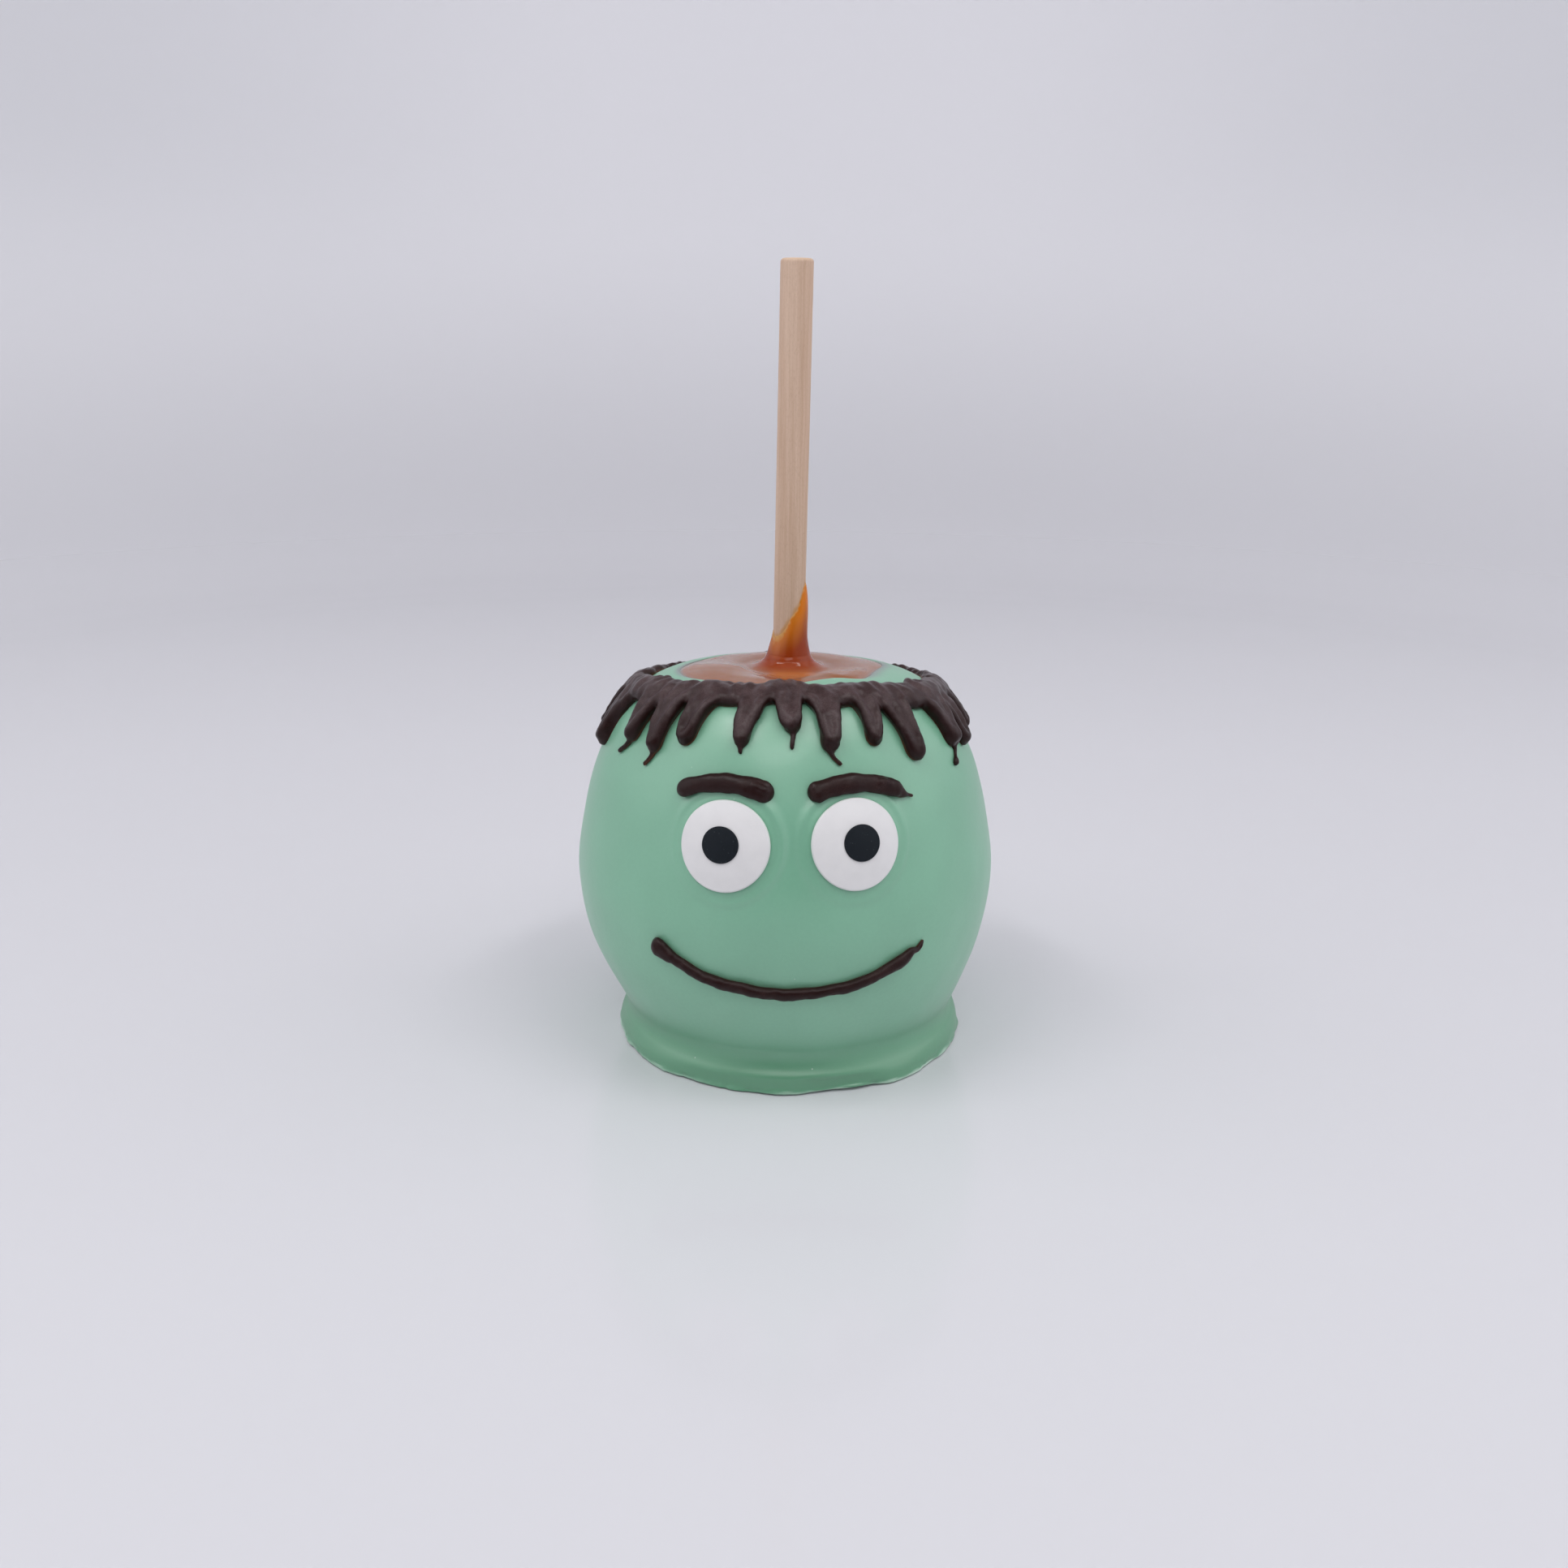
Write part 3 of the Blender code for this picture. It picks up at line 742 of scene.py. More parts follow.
@dataclass(frozen=True)
class GreenCandy(Finish):
    """Pale green candy coat with a satin gloss, faint clouds, flecks and fine scratches."""

    slot: str = "green_candy"
    light: Colour = (0.222, 0.518, 0.344)
    deep: Colour = (0.198, 0.472, 0.310)
    # Colour of the painted shade towards the top of the coat.
    high: Colour = (0.165, 0.395, 0.262)
    # Colour of the painted shade round the foot.
    low: Colour = (0.112, 0.328, 0.186)
    worn: Colour = (0.185, 0.230, 0.222)
    lip: Colour = (0.55, 0.74, 0.62)
    fleck: Colour = (0.62, 0.74, 0.66)
    speck: Colour = (0.08, 0.13, 0.09)

    def paint(self, nodes: Nodes) -> None:
        """Clouds of two greens, with painted shade that darkens them towards the top and near the foot,
        thinner by the pool, with small marks.
        """
        clouds = nodes.span(nodes.noise(85.0, 1.5), 0.25, 0.75)
        grain = nodes.span(nodes.noise(1400.0, 1.0), 0.35, 0.65)
        share = nodes.math("ADD", nodes.times(clouds, 0.75), nodes.times(grain, 0.25))
        colour = nodes.mix(share, self.deep, self.light)
        height = nodes.coordinate(2)
        # Painted shade: the green darkens towards the top, offsetting the strong light from above.
        colour = nodes.mix(nodes.span(height, 0.012, 0.066, 0.0, 0.5), colour, self.high)
        # Painted shade: the green darkens near the floor, standing in for the shade round the foot.
        colour = nodes.mix(nodes.span(height, 0.016, 0.003), colour, self.low)
        colour = nodes.mix(nodes.stored("thin"), colour, self.worn)
        colour = nodes.mix(nodes.stored("lip"), colour, self.lip)
        flecks, specks = nodes.spots(260.0, 0.055, 0.20, 0.06)
        slanted = nodes.moved((1.0, 1.0, 0.13), (0.3, 0.2, 0.0))
        scratches, _ = nodes.spots(170.0, 0.030, 0.14, 0.0, slanted)
        marks = nodes.math("MAXIMUM", flecks, nodes.times(scratches, 0.6))
        colour = nodes.mix(nodes.times(marks, 0.65), colour, self.fleck)
        colour = nodes.mix(nodes.times(specks, 0.6), colour, self.speck)
        nodes.set(Base_Color=colour, Roughness=nodes.span(clouds, 0.0, 1.0, 0.34, 0.38),
                  Normal=nodes.bump(nodes.noise(420.0, 2.0), 0.030 * MM), IOR=1.52, Specular_IOR_Level=1.0,
                  Sheen_Weight=0.10, Sheen_Roughness=0.4)


@dataclass(frozen=True)
class Caramel(Finish):
    """Clear glossy caramel: amber where it is thin and in a painted glow in front of the collar, and red
    brown where it is deep.
    """

    slot: str = "caramel"
    amber: Colour = (0.70, 0.195, 0.006)
    pool: Colour = (0.285, 0.095, 0.030)
    milky: Colour = (0.300, 0.150, 0.098)
    deep: Colour = (0.300, 0.036, 0.002)
    veil: Colour = (0.205, 0.175, 0.152)
    edge: Colour = (0.640, 0.340, 0.120)
    bubble: Colour = (0.110, 0.045, 0.020)

    def paint(self, nodes: Nodes) -> None:
        """Colour by depth, with faint swirls and a candy veil over the pool's rim."""
        swirl = nodes.span(nodes.noise(90.0, 2.0, nodes.moved((0.6, 1.0, 1.0)), twist=0.5), 0.30, 0.62)
        colour = nodes.mix(nodes.times(swirl, 0.85), self.pool, self.milky)
        colour = nodes.mix(nodes.stored("deep"), colour, self.deep)
        # The amber mix holds both thin caramel and the painted glow in front of the collar.
        colour = nodes.mix(nodes.stored("amber"), colour, self.amber)
        colour = nodes.mix(nodes.stored("veil"), colour, self.veil)
        colour = nodes.mix(nodes.times(nodes.stored("edge"), 0.85), colour, self.edge)
        distance, _ = nodes.cells(1050.0)
        bubble = nodes.times(nodes.span(distance, 0.36, 0.20), nodes.stored("froth"))
        colour = nodes.mix(nodes.times(bubble, 0.45), colour, self.bubble)
        skin = nodes.bump(nodes.noise(190.0, 1.0), 0.02 * MM)
        skin = nodes.bump(nodes.math("SUBTRACT", 1.0, bubble), 0.15 * MM, skin)
        nodes.set(Base_Color=colour, Roughness=0.10, IOR=1.48, Specular_IOR_Level=0.26, Normal=skin,
                  Subsurface_Weight=0.25, Subsurface_Radius=(1.0, 0.30, 0.06),
                  Subsurface_Scale=2.0 * MM)


@dataclass(frozen=True)
class BirchWood(Finish):
    """Bare pale wood with fine straight grain along the stick, and fine pores."""

    slot: str = "birch_wood"
    pale: Colour = (0.690, 0.505, 0.385)
    brown: Colour = (0.540, 0.360, 0.250)
    pore: Colour = (0.430, 0.270, 0.190)
    end: Colour = (0.700, 0.500, 0.345)
    stain: Colour = (0.560, 0.270, 0.080)

    def paint(self, nodes: Nodes) -> None:
        """Fine streaks and short fibres along the grain, a lighter end and a caramel stain."""
        along = nodes.moved((1.0, 1.0, 0.03))
        streaks = nodes.span(nodes.noise(2600.0, 3.0, along, 0.6), 0.30, 0.70)
        bands = nodes.span(nodes.noise(420.0, 2.0, along), 0.3, 0.7)
        share = nodes.math("ADD", nodes.times(streaks, 0.4), nodes.times(bands, 0.6))
        colour = nodes.mix(share, self.brown, self.pale)
        pores = nodes.span(nodes.noise(5200.0, 1.0, nodes.moved((1.0, 1.0, 0.30))), 0.45, 0.75)
        colour = nodes.mix(nodes.times(pores, 0.22), colour, self.pore)
        colour = nodes.mix(nodes.times(nodes.stored("end"), 0.8), colour, self.end)
        colour = nodes.mix(nodes.times(nodes.stored("stain"), 0.8), colour, self.stain)
        fibre = nodes.bump(nodes.noise(1900.0, 4.0, along, 0.6), 0.05 * MM)
        fibre = nodes.bump(nodes.math("SUBTRACT", 1.0, pores), 0.012 * MM, fibre)
        nodes.set(Base_Color=colour, Roughness=nodes.span(streaks, 0.0, 1.0, 0.62, 0.52), Normal=fibre,
                  IOR=1.46)


@dataclass(frozen=True)
class DarkChocolate(Finish):
    """Set dark chocolate with a fine-grained satin sheen, reddish where it is thin."""

    slot: str = "dark_chocolate"
    dark: Colour = (0.0170, 0.0048, 0.0042)
    bloom: Colour = (0.034, 0.014, 0.013)
    # Colour of the painted sheen on the chocolate's upward-facing tops.
    painted_sheen: Colour = (0.092, 0.060, 0.062)
    thin: Colour = (0.110, 0.036, 0.016)

    def paint(self, nodes: Nodes) -> None:
        """Dark brown with clouds of bloom, thin red-brown rims where it meets the coat, and a painted grey
        sheen in grainy patches on the upward-facing tops.
        """
        clouds = nodes.span(nodes.noise(240.0, 4.0, twist=0.6), 0.42, 0.72)
        grain = nodes.noise(4200.0, 2.0, rough=0.7)
        dusted = nodes.times(clouds, nodes.span(grain, 0.35, 0.65))
        colour = nodes.mix(dusted, self.dark, self.bloom)
        # Painted sheen: grainy pale patches on the upward-facing tops near the crest, standing in for the
        # lights' reflection.
        patches = nodes.span(nodes.noise(330.0, 3.0), 0.35, 0.65, 0.45, 1.0)
        patches = nodes.times(patches, nodes.span(grain, 0.35, 0.65, 0.6, 1.0))
        colour = nodes.mix(nodes.times(nodes.stored("painted_sheen"), patches), colour, self.painted_sheen)
        colour = nodes.mix(nodes.times(nodes.stored("thin"), 0.8), colour, self.thin)
        skin = nodes.bump(nodes.noise(700.0, 2.0), 0.04 * MM)
        skin = nodes.bump(grain, 0.030 * MM, skin)
        nodes.set(Base_Color=colour, Roughness=nodes.span(clouds, 0.0, 1.0, 0.30, 0.42), Normal=skin,
                  IOR=1.5, Specular_IOR_Level=0.20)


@dataclass(frozen=True)
class WhiteSugar(Finish):
    """Dull white pressed sugar, with a faint grain and a slightly stained rim."""

    slot: str = "white_sugar"
    white: Colour = (0.795, 0.785, 0.790)
    grey: Colour = (0.740, 0.732, 0.738)
    rim: Colour = (0.66, 0.72, 0.68)

    def paint(self, nodes: Nodes) -> None:
        """Very faint clouds, a stained rim, and a powdery relief."""
        clouds = nodes.span(nodes.noise(260.0, 4.0), 0.3, 0.75)
        colour = nodes.mix(nodes.times(clouds, 0.6), self.white, self.grey)
        colour = nodes.mix(nodes.times(nodes.stored("rim"), 0.6), colour, self.rim)
        nodes.set(Base_Color=colour, Roughness=0.46, IOR=1.46,
                  Normal=nodes.bump(nodes.noise(900.0, 3.0, rough=0.6), 0.035 * MM))


@dataclass(frozen=True)
class BlackSugar(Finish):
    """Matte blue-black sugar icing with tiny grey grains."""

    slot: str = "black_sugar"
    black: Colour = (0.0085, 0.0122, 0.0168)
    grain: Colour = (0.060, 0.070, 0.075)

    def paint(self, nodes: Nodes) -> None:
        """Grey grains on black, and a fine rough skin."""
        grains, _ = nodes.spots(2300.0, 0.30, 0.16, 0.0)
        colour = nodes.mix(nodes.times(grains, 0.5), self.black, self.grain)
        skin = nodes.bump(nodes.noise(3000.0, 3.0), 0.03 * MM)
        nodes.set(Base_Color=colour, Roughness=0.58, IOR=1.45, Specular_IOR_Level=0.2, Normal=skin)


def place(mesh: bpy.types.Mesh, finish: Finish, stands_for: str) -> None:
    """Put a finished mesh into the scene as a piece of the object.

    Args:
        mesh: the piece's mesh, in the model's frame. The piece gets its name.
        finish: its finish.
        stands_for: name of the CAD node that it replaces.
    """
    mesh.materials.clear()
    mesh.materials.append(finish.material())
    piece = bpy.data.objects.new(mesh.name, mesh)
    bpy.context.scene.collection.objects.link(piece)
    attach(piece, "root")
    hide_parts(stands_for)
    LOG.info("%s: %d faces, %s", piece.name, len(mesh.polygons), finish.slot)


# ---------------------------------------------------------------- the pieces


@dataclass
class CandyCoat:
    """The apple in its green candy coat, with the foot of candy that set round its base."""

    apple: AppleSurface
    axis: StickAxis
    face: FaceLayout
    columns: int = 480
    crowding: float = 0.38
    foot_rows: int = 30
    body_rows: int = 152
    rim_rows: int = 12
    rim_width: float = 2.6 * MM
    rim_lift: float = 0.38 * MM
    bore_gap: float = 0.3 * MM
    pool_depth: float = 2.6 * MM
    unevenness: float = 0.10 * MM
    run_height: float = 0.035 * MM
    ridge_distance: float = 10.6 * MM
    ridge_width: float = 0.85 * MM
    ridge_height: float = 0.50 * MM
    bank_distance: float = 8.6 * MM
    bank_width: float = 1.1 * MM
    bank_height: float = 0.46 * MM
    bed_radius: float = 8.0 * MM
    bed_depth: float = 0.22 * MM
    lip_lift: float = 0.35 * MM
    fillet_reach: float = 3.4 * MM
    fillet_radius: float = 4.9 * MM

    def relief(self, azimuth: Array, step: Array) -> Array:
        """Height of the coat's own unevenness above the smooth surface.

        It is slow waves, faint runs down the sides, and what each eye left when it was pushed
        in: a low ridge round it and a bank against it, which are bell curves of the distance from
        its middle, and a shallow bed under it.

        Args:
            azimuth: azimuths of the grid.
            step: steps of the grid.

        Returns:
            Heights in the grid's shape.
        """
        smooth = self.apple.point(azimuth, step)
        lift = self.unevenness * (0.7 * ripple(smooth, 26.0 * MM, 3) + 0.35 * ripple(smooth, 11.0 * MM, 5))
        runs = ripple(smooth * (1.0, 1.0, 0.18), 7.5 * MM, 8)
        fading = smooth_step(self.apple.height_at(step), 60.0 * MM, 30.0 * MM)
        lift = lift + self.run_height * runs * fading
        for side in Side:
            across, up = self.face.from_eye(self.apple, side, azimuth, step)
            distance = np.hypot(across, up)
            strength = 0.75 + 0.25 * np.cos(np.arctan2(up, across) - 0.9)
            ridge = np.exp(-((distance - self.ridge_distance) / self.ridge_width) ** 2)
            bank = np.exp(-((distance - self.bank_distance) / self.bank_width) ** 2)
            bed = np.exp(-((distance / self.bed_radius) ** 10))
            lift = lift + self.ridge_height * strength * ridge
            lift = lift + self.bank_height * bank - self.bed_depth * bed
        return lift

    def rim_relief(self, azimuth: Array, from_edge: Array) -> Array:
        """Rounded inner rim of the candy, thick at the front and thin where it runs out.

        Args:
            azimuth: azimuths of the grid.
            from_edge: lengths to the rim's edge, along the outline.

        Returns:
            Heights, from 0 at the edge up to the rim's crest and down again outwards.
        """
        thick = 0.30 + 0.70 * (0.5 + 0.5 * np.cos(azimuth - math.radians(24.0))) ** 3
        thick = thick * (1.0 + 0.12 * np.cos(9.0 * azimuth + 1.0))
        near = np.clip(from_edge / (0.7 * MM), 0.0, 1.0)
        round_off = np.sqrt(1.0 - (1.0 - near) ** 2)
        return self.rim_lift * thick * round_off * smooth_step(from_edge, 5.0 * MM, 0.9 * MM)

    def fillet_scale(self, azimuth: Array) -> Array:
        """Size of the hollow between body and foot: full at the front, smaller elsewhere."""
        return 0.70 + 0.30 * smooth_step(np.cos(azimuth), 0.3, 0.95)

    def fillet(self, azimuth: Array, step: Array) -> Array:
        """Height of that hollow's surface above the outline: an arc that touches the outline.

        Args:
            azimuth: azimuths.
            step: lengths along the outline from the crease.

        Returns:
            Heights, 0 beyond the arc's end.
        """
        scale = self.fillet_scale(azimuth)
        radius = self.fillet_radius * scale
        short = np.clip(self.fillet_reach * scale - step, 0.0, 0.99 * radius)
        return radius - np.sqrt(radius**2 - short**2)

    def foot_rings(self, azimuth: Array) -> Array:
        """Rings of the foot, from its flat underside out to a thin wavy lip and up to the crease.

        Args:
            azimuth: azimuths of the columns.

        Returns:
            An array of rings.
        """
        around = self.apple.around
        wave = 0.13 * MM * np.cos(17.0 * azimuth + 0.4) + 0.09 * MM * np.cos(29.0 * azimuth + 2.0)
        nicks = np.maximum(np.cos(53.0 * azimuth) + np.cos(37.0 * azimuth + 1.0) - 0.9, 0.0)
        raised = smooth_step(np.cos(azimuth - math.radians(17.0)), math.cos(0.28), 1.0)
        foot = self.apple.foot_radius(azimuth) - 0.7 * MM * raised
        ragged = ripple(around(azimuth, foot, 0.0 * azimuth), 1.7 * MM, 51)
        ragged = ragged * (0.6 + 0.4 * np.cos(2.0 * azimuth + 1.0))
        edge = foot + wave - 0.14 * MM * nicks + 0.05 * MM * ragged
        lip = self.lip_lift * raised + 0.07 * MM * (1.0 + np.cos(13.0 * azimuth + 1.0))
        base = self.apple.height[0] + self.apple.crease_lift(azimuth, self.apple.height[0])
        scale = self.fillet_scale(azimuth)
        crease = self.apple.radius[0] + 2.3 * MM * scale
        shoulder = 0.5 * (foot + crease)
        rings = (
            around(azimuth, foot - 2.4 * MM, 0.0 * azimuth),
            around(azimuth, foot - 1.0 * MM, 0.08 * MM + 0.5 * lip),
            around(azimuth, edge - 0.12 * MM, 0.16 * MM + lip),
            around(azimuth, edge + 0.12 * MM, 0.36 * MM + lip),
            around(azimuth, edge - 0.02 * MM, 0.62 * MM + lip),
            around(azimuth, foot - 0.12 * MM, 1.35 * MM),
            around(azimuth, 0.5 * (foot + shoulder), 0.5 * (base - 1.4 * MM)),
            around(azimuth, crease, base - 2.49 * MM * scale),
            around(azimuth, crease - 0.55 * MM * scale, base - 1.77 * MM * scale),
            self.apple.point(azimuth, 0.0, self.fillet(azimuth, 0.0)),
            self.apple.point(azimuth, 1.0 * MM, self.fillet(azimuth, 1.0 * MM)),
        )
        return smooth_rings(rings, self.foot_rows, guides=1)

    def body(self, azimuth: Array, edge_step: Array) -> tuple[Array, Array]:
        """Rings from the crease up to the pool's edge, close together near the edge.

        Args:
            azimuth: azimuths of the columns.
            edge_step: step of the pool's edge in each column.

        Returns:
            The rings, and the length along the outline from each point to the edge.
        """
        share = np.linspace(0.0, 1.0, self.body_rows)[1:, None]
        inwards = np.linspace(0.0, 1.0, self.rim_rows + 1)[1:, None]
        step = np.concatenate((
            share * (edge_step - self.rim_width), edge_step - self.rim_width * (1.0 - inwards) ** 1.6))
        from_edge = edge_step - step
        relief = self.relief(azimuth[None, :], step) * smooth_step(step, 0.0, 7.0 * MM)
        relief = relief * smooth_step(from_edge, 0.0, 4.0 * MM) + self.rim_relief(azimuth, from_edge)
        relief = relief + self.fillet(azimuth, step)
        return self.apple.point(azimuth[None, :], step, relief), from_edge

    def seat(self, azimuth: Array, edge: Array, edge_height: Array) -> Array:
        """Rings of the seat under the caramel and of the stick's bore.

        Args:
            azimuth: azimuths of the columns.
            edge: radius of the pool's edge in each column.
            edge_height: height of the outline at that radius.

        Returns:
            The rings, down to the end of the bore.
        """
        around = self.apple.around
        floor = self.apple.top - self.pool_depth
        bore = self.axis.radius + self.bore_gap
        return np.stack((
            around(azimuth, edge - 0.10 * MM, edge_height - 0.05 * MM),
            around(azimuth, edge - 0.14 * MM, edge_height - 0.5 * MM),
            around(azimuth, edge - 0.4 * MM, floor + 0.0 * azimuth),
            self.axis.ring(azimuth, bore, floor),
            self.axis.ring(azimuth, bore, self.axis.bottom - self.bore_gap),
        ))

    @staticmethod
    def thinness(azimuth: Array, from_edge: Array) -> Array:
        """How thin the candy on the body is: thin near the pool's edge, most at the two sides.

        Args:
            azimuth: azimuths of the columns.
            from_edge: lengths from the body's points to the pool's edge.

        Returns:
            Numbers from 0 to 1 for the rings of the body, and last one ring for the seat.
        """
        right = smooth_step(np.sin(azimuth), 0.75, 0.95)
        left = smooth_step(-np.sin(azimuth), 0.80, 0.97)
        reach = 1.5 * MM + 1.6 * MM * right
        near = smooth_step(from_edge / reach, 1.0, -0.1)
        return np.concatenate((near, np.ones((1, len(azimuth))))) * (
            0.25 + 0.75 * np.clip(right + left, 0.0, 1.0))

    @staticmethod
    def pale_lip(azimuth: Array, height: Array) -> Array:
        """How pale the foot's lip is: a narrow uneven line, which is worn off in places.

        Args:
            azimuth: azimuths of points of the foot.
            height: their heights.

        Returns:
            Numbers from 0 to 1.
        """
        pale = 0.62 * MM + 0.12 * MM * np.cos(23.0 * azimuth) + 0.10 * MM * np.cos(41.0 * azimuth + 1.0)
        worn = 0.45 + 0.35 * np.cos(3.0 * azimuth - 1.9) + 0.20 * np.cos(8.0 * azimuth - 1.0)
        line = smooth_step(height - pale, 0.25 * MM, 0.0) * smooth_step(height, 0.0, 0.3 * MM)
        return worn * line

    def build(self) -> None:
        """Make the coat, with its foot, the seat of the caramel and the stick's bore."""
        azimuth = columns_of(self.columns, self.crowding)
        edge = self.apple.pool_radius(azimuth)
        edge_step = self.apple.step_at_radius(edge)
        foot = self.foot_rings(azimuth)
        body, from_edge = self.body(azimuth, edge_step)
        seat = self.seat(azimuth, edge, self.apple.height_at(edge_step))
        rings = np.concatenate((foot, body, seat))
        end = self.axis.centre(self.axis.bottom - self.bore_gap)
        mesh = Shell.from_rings(rings, np.zeros(3), end).to_mesh("candy_coat")
        thin, lip = np.zeros(rings.shape[:2]), np.zeros(rings.shape[:2])
        marks = self.thinness(azimuth, from_edge)
        thin[len(foot):len(foot) + len(body)] = marks[:-1]
        thin[len(foot) + len(body):] = marks[-1]
        lip[:len(foot)] = self.pale_lip(azimuth, foot[:, :, 2])
        poles = (0.0, 0.0)
        tag(mesh, "thin", np.concatenate((thin.ravel(), poles)))
        tag(mesh, "lip", np.concatenate((lip.ravel(), poles)))
        place(mesh, GreenCandy(), "coated_apple")


@dataclass(frozen=True)
class Swell:
    """Long swell of the caramel, seen from above, that falls off differently to its two sides."""

    start_mm: tuple[float, float]
    end_mm: tuple[float, float]
    height: float
    ahead: float
    behind: float
    end_width: float = 4.2 * MM
    turn_width: float = 2.0 * MM

    def lift(self, x: Array, y: Array) -> Array:
        """Height of the swell: a bell curve of the distance from its crest.

        Args:
            x: places across.
            y: places towards the back.

        Returns:
            Heights. Ahead is the side to the left of the way from start to end.
        """
        start, end = np.array(self.start_mm) * MM, np.array(self.end_mm) * MM
        length = float(np.hypot(*(end - start)))
        way = (end - start) / length
        along = (x - start[0]) * way[0] + (y - start[1]) * way[1]
        aside = (y - start[1]) * way[0] - (x - start[0]) * way[1]
        beyond = np.maximum(np.maximum(-along, along - length), 0.0)
        share = smooth_step(aside, -self.turn_width, self.turn_width)
        width = self.behind + (self.ahead - self.behind) * share
        return self.height * np.exp(-(aside / width) ** 2 - (beyond / self.end_width) ** 2)


@dataclass
class CaramelPool:
    """Caramel in the dimple: a low lens with soft swells and a collar that climbs the stick."""

    apple: AppleSurface
    axis: StickAxis
    columns: int = 280
    rows: int = 300
    depth: float = 2.3 * MM
    dome: float = 1.05 * MM
    ring_depth: float = 0.035 * MM
    ring_spacing: float = 1.0 * MM
    overlap: float = 0.12 * MM
    climb_mm: tuple = (
        (-180, 8.0), (-130, 8.3), (-90, 8.1), (-65, 7.3), (-38, 7.6), (-15, 8.9), (-4, 10.1), (6, 11.3),
        (20, 12.3), (32, 13.2), (41, 14.6), (49, 15.9), (57, 16.9), (68, 17.6), (85, 18.0), (105, 16.5),
        (130, 12.0), (155, 9.0),
    )
    climb_steps: tuple = (0.0, 0.05, 0.10, 0.17, 0.28, 0.42, 0.58, 0.72, 0.84, 0.92, 0.97)
    film_mm: tuple = (
        (2.1, 1.98), (2.8, 1.52), (3.4, 1.28), (4.0, 1.12), (4.6, 1.00), (5.4, 0.84), (6.4, 0.68),
        (8.0, 0.60), (12.0, 0.64), (18.0, 0.55),
    )
    foot_mm: tuple = (
        (-0.10, 7.2), (0.00, 5.9), (0.16, 4.90), (0.40, 4.15), (0.72, 3.52), (1.05, 3.05), (1.55, 2.48),
    )
    swells: tuple = (
        Swell((-22.0, 2.0), (-12.0, -3.0), 0.30 * MM, 3.6 * MM, 6.5 * MM),
        Swell((-12.0, -3.0), (-5.5, -10.0), 0.34 * MM, 3.4 * MM, 6.5 * MM),
        Swell((5.5, -6.0), (17.0, -3.6), 0.22 * MM, 3.2 * MM, 5.4 * MM),
        Swell((-15.0, 16.0), (19.0, 13.0), 0.25 * MM, 4.5 * MM, 6.5 * MM),
        Swell((-15.0, 8.0), (-10.0, 3.0), -0.12 * MM, 3.4 * MM, 3.4 * MM),
    )

    @property
    def inner(self) -> float:
        """Radius of the caramel's inner wall, just inside the stick."""
        return self.axis.radius - self.overlap

    def climb(self, azimuth: Array) -> Array:
        """Height above the apple's top that the caramel climbs the stick to."""
        return round_table(self.climb_mm, azimuth)

    def film(self, height: Array, below_edge: Array) -> Array:
        """Thickness of the caramel on the stick, thinned out towards its upper edge.

        Args:
            height: heights above the apple's top.
            below_edge: how far these are below the caramel's upper edge.

        Returns:
            Thicknesses.
        """
        knots = np.array(self.film_mm) * MM
        thinned = 1.0 - np.exp(-(np.maximum(below_edge, 0.0) / (2.0 * MM)) ** 1.3)
        return np.interp(height, knots[:, 0], knots[:, 1]) * (0.04 + 0.96 * thinned)

    def outline(self, azimuth: Array, outer: Array) -> Array:
        """Rings of the caramel: under its rim, over the pool and up the stick.

        Args:
            azimuth: azimuths of the columns.
            outer: radius of the pool's edge in each column.

        Returns:
            Many rings on the smooth surface through the stated ones.
        """
        axis, around, top = self.axis, self.apple.around, self.apple.top
        rim = self.apple.height_at(self.apple.step_at_radius(outer))
        climb = self.climb(azimuth)
        rings = [
            around(azimuth, outer - 0.6 * MM, top - self.depth + 0.0 * azimuth),
            around(azimuth, outer + 0.30 * MM, rim - 0.60 * MM),
            around(azimuth, outer + 0.12 * MM, rim - 0.14 * MM),
            around(azimuth, outer - 0.45 * MM, rim - 0.02 * MM),
            around(azimuth, outer - 1.6 * MM, rim + 0.05 * MM),
            around(azimuth, outer - 3.2 * MM, rim + 0.10 * MM),
            around(azimuth, 0.5 * outer + 5.2 * MM, top + 0.08 * MM + 0.0 * azimuth),
        ]
        for height, offset in self.foot_mm:
            rings.append(axis.ring(azimuth, axis.radius + offset * MM, top + height * MM))
        low = self.film_mm[0][0] * MM
        for share in self.climb_steps:
            height = low + share * (climb - low)
            rings.append(axis.ring(azimuth, axis.radius + self.film(height, climb - height), top + height))
        rings.append(axis.ring(azimuth, self.inner, top + climb + 0.05 * MM))
        return smooth_rings(rings, self.rows)

    def raise_pool(self, surface: Array, outer: Array) -> None:
        """Add the dome and the swells to the pool, where it is clear of its rim and its collar.

        Args:
            surface: the caramel's rings, which are changed.
            outer: radius of the pool's edge in each column.
        """
        spread = np.hypot(surface[..., 0] - self.apple.shift, surface[..., 1])
        fade = smooth_step(spread, outer, outer - 2.6 * MM) * smooth_step(spread, 7.2 * MM, 10.2 * MM)
        dome = np.clip(1.0 - (spread / outer) ** 2.5, 0.0, 1.0)
        dome = dome * smooth_step(surface[..., 2] - self.apple.top, 2.4 * MM, 0.0)
        dome = self.dome * dome * (0.4 + 0.6 * smooth_step(spread, 7.0 * MM, 12.5 * MM))
        dome = dome * (np.arange(len(surface)) > 3)[:, None]
        for swell in self.swells:
            surface[..., 2] += fade * swell.lift(surface[..., 0], surface[..., 1])
        surface[..., 2] += dome

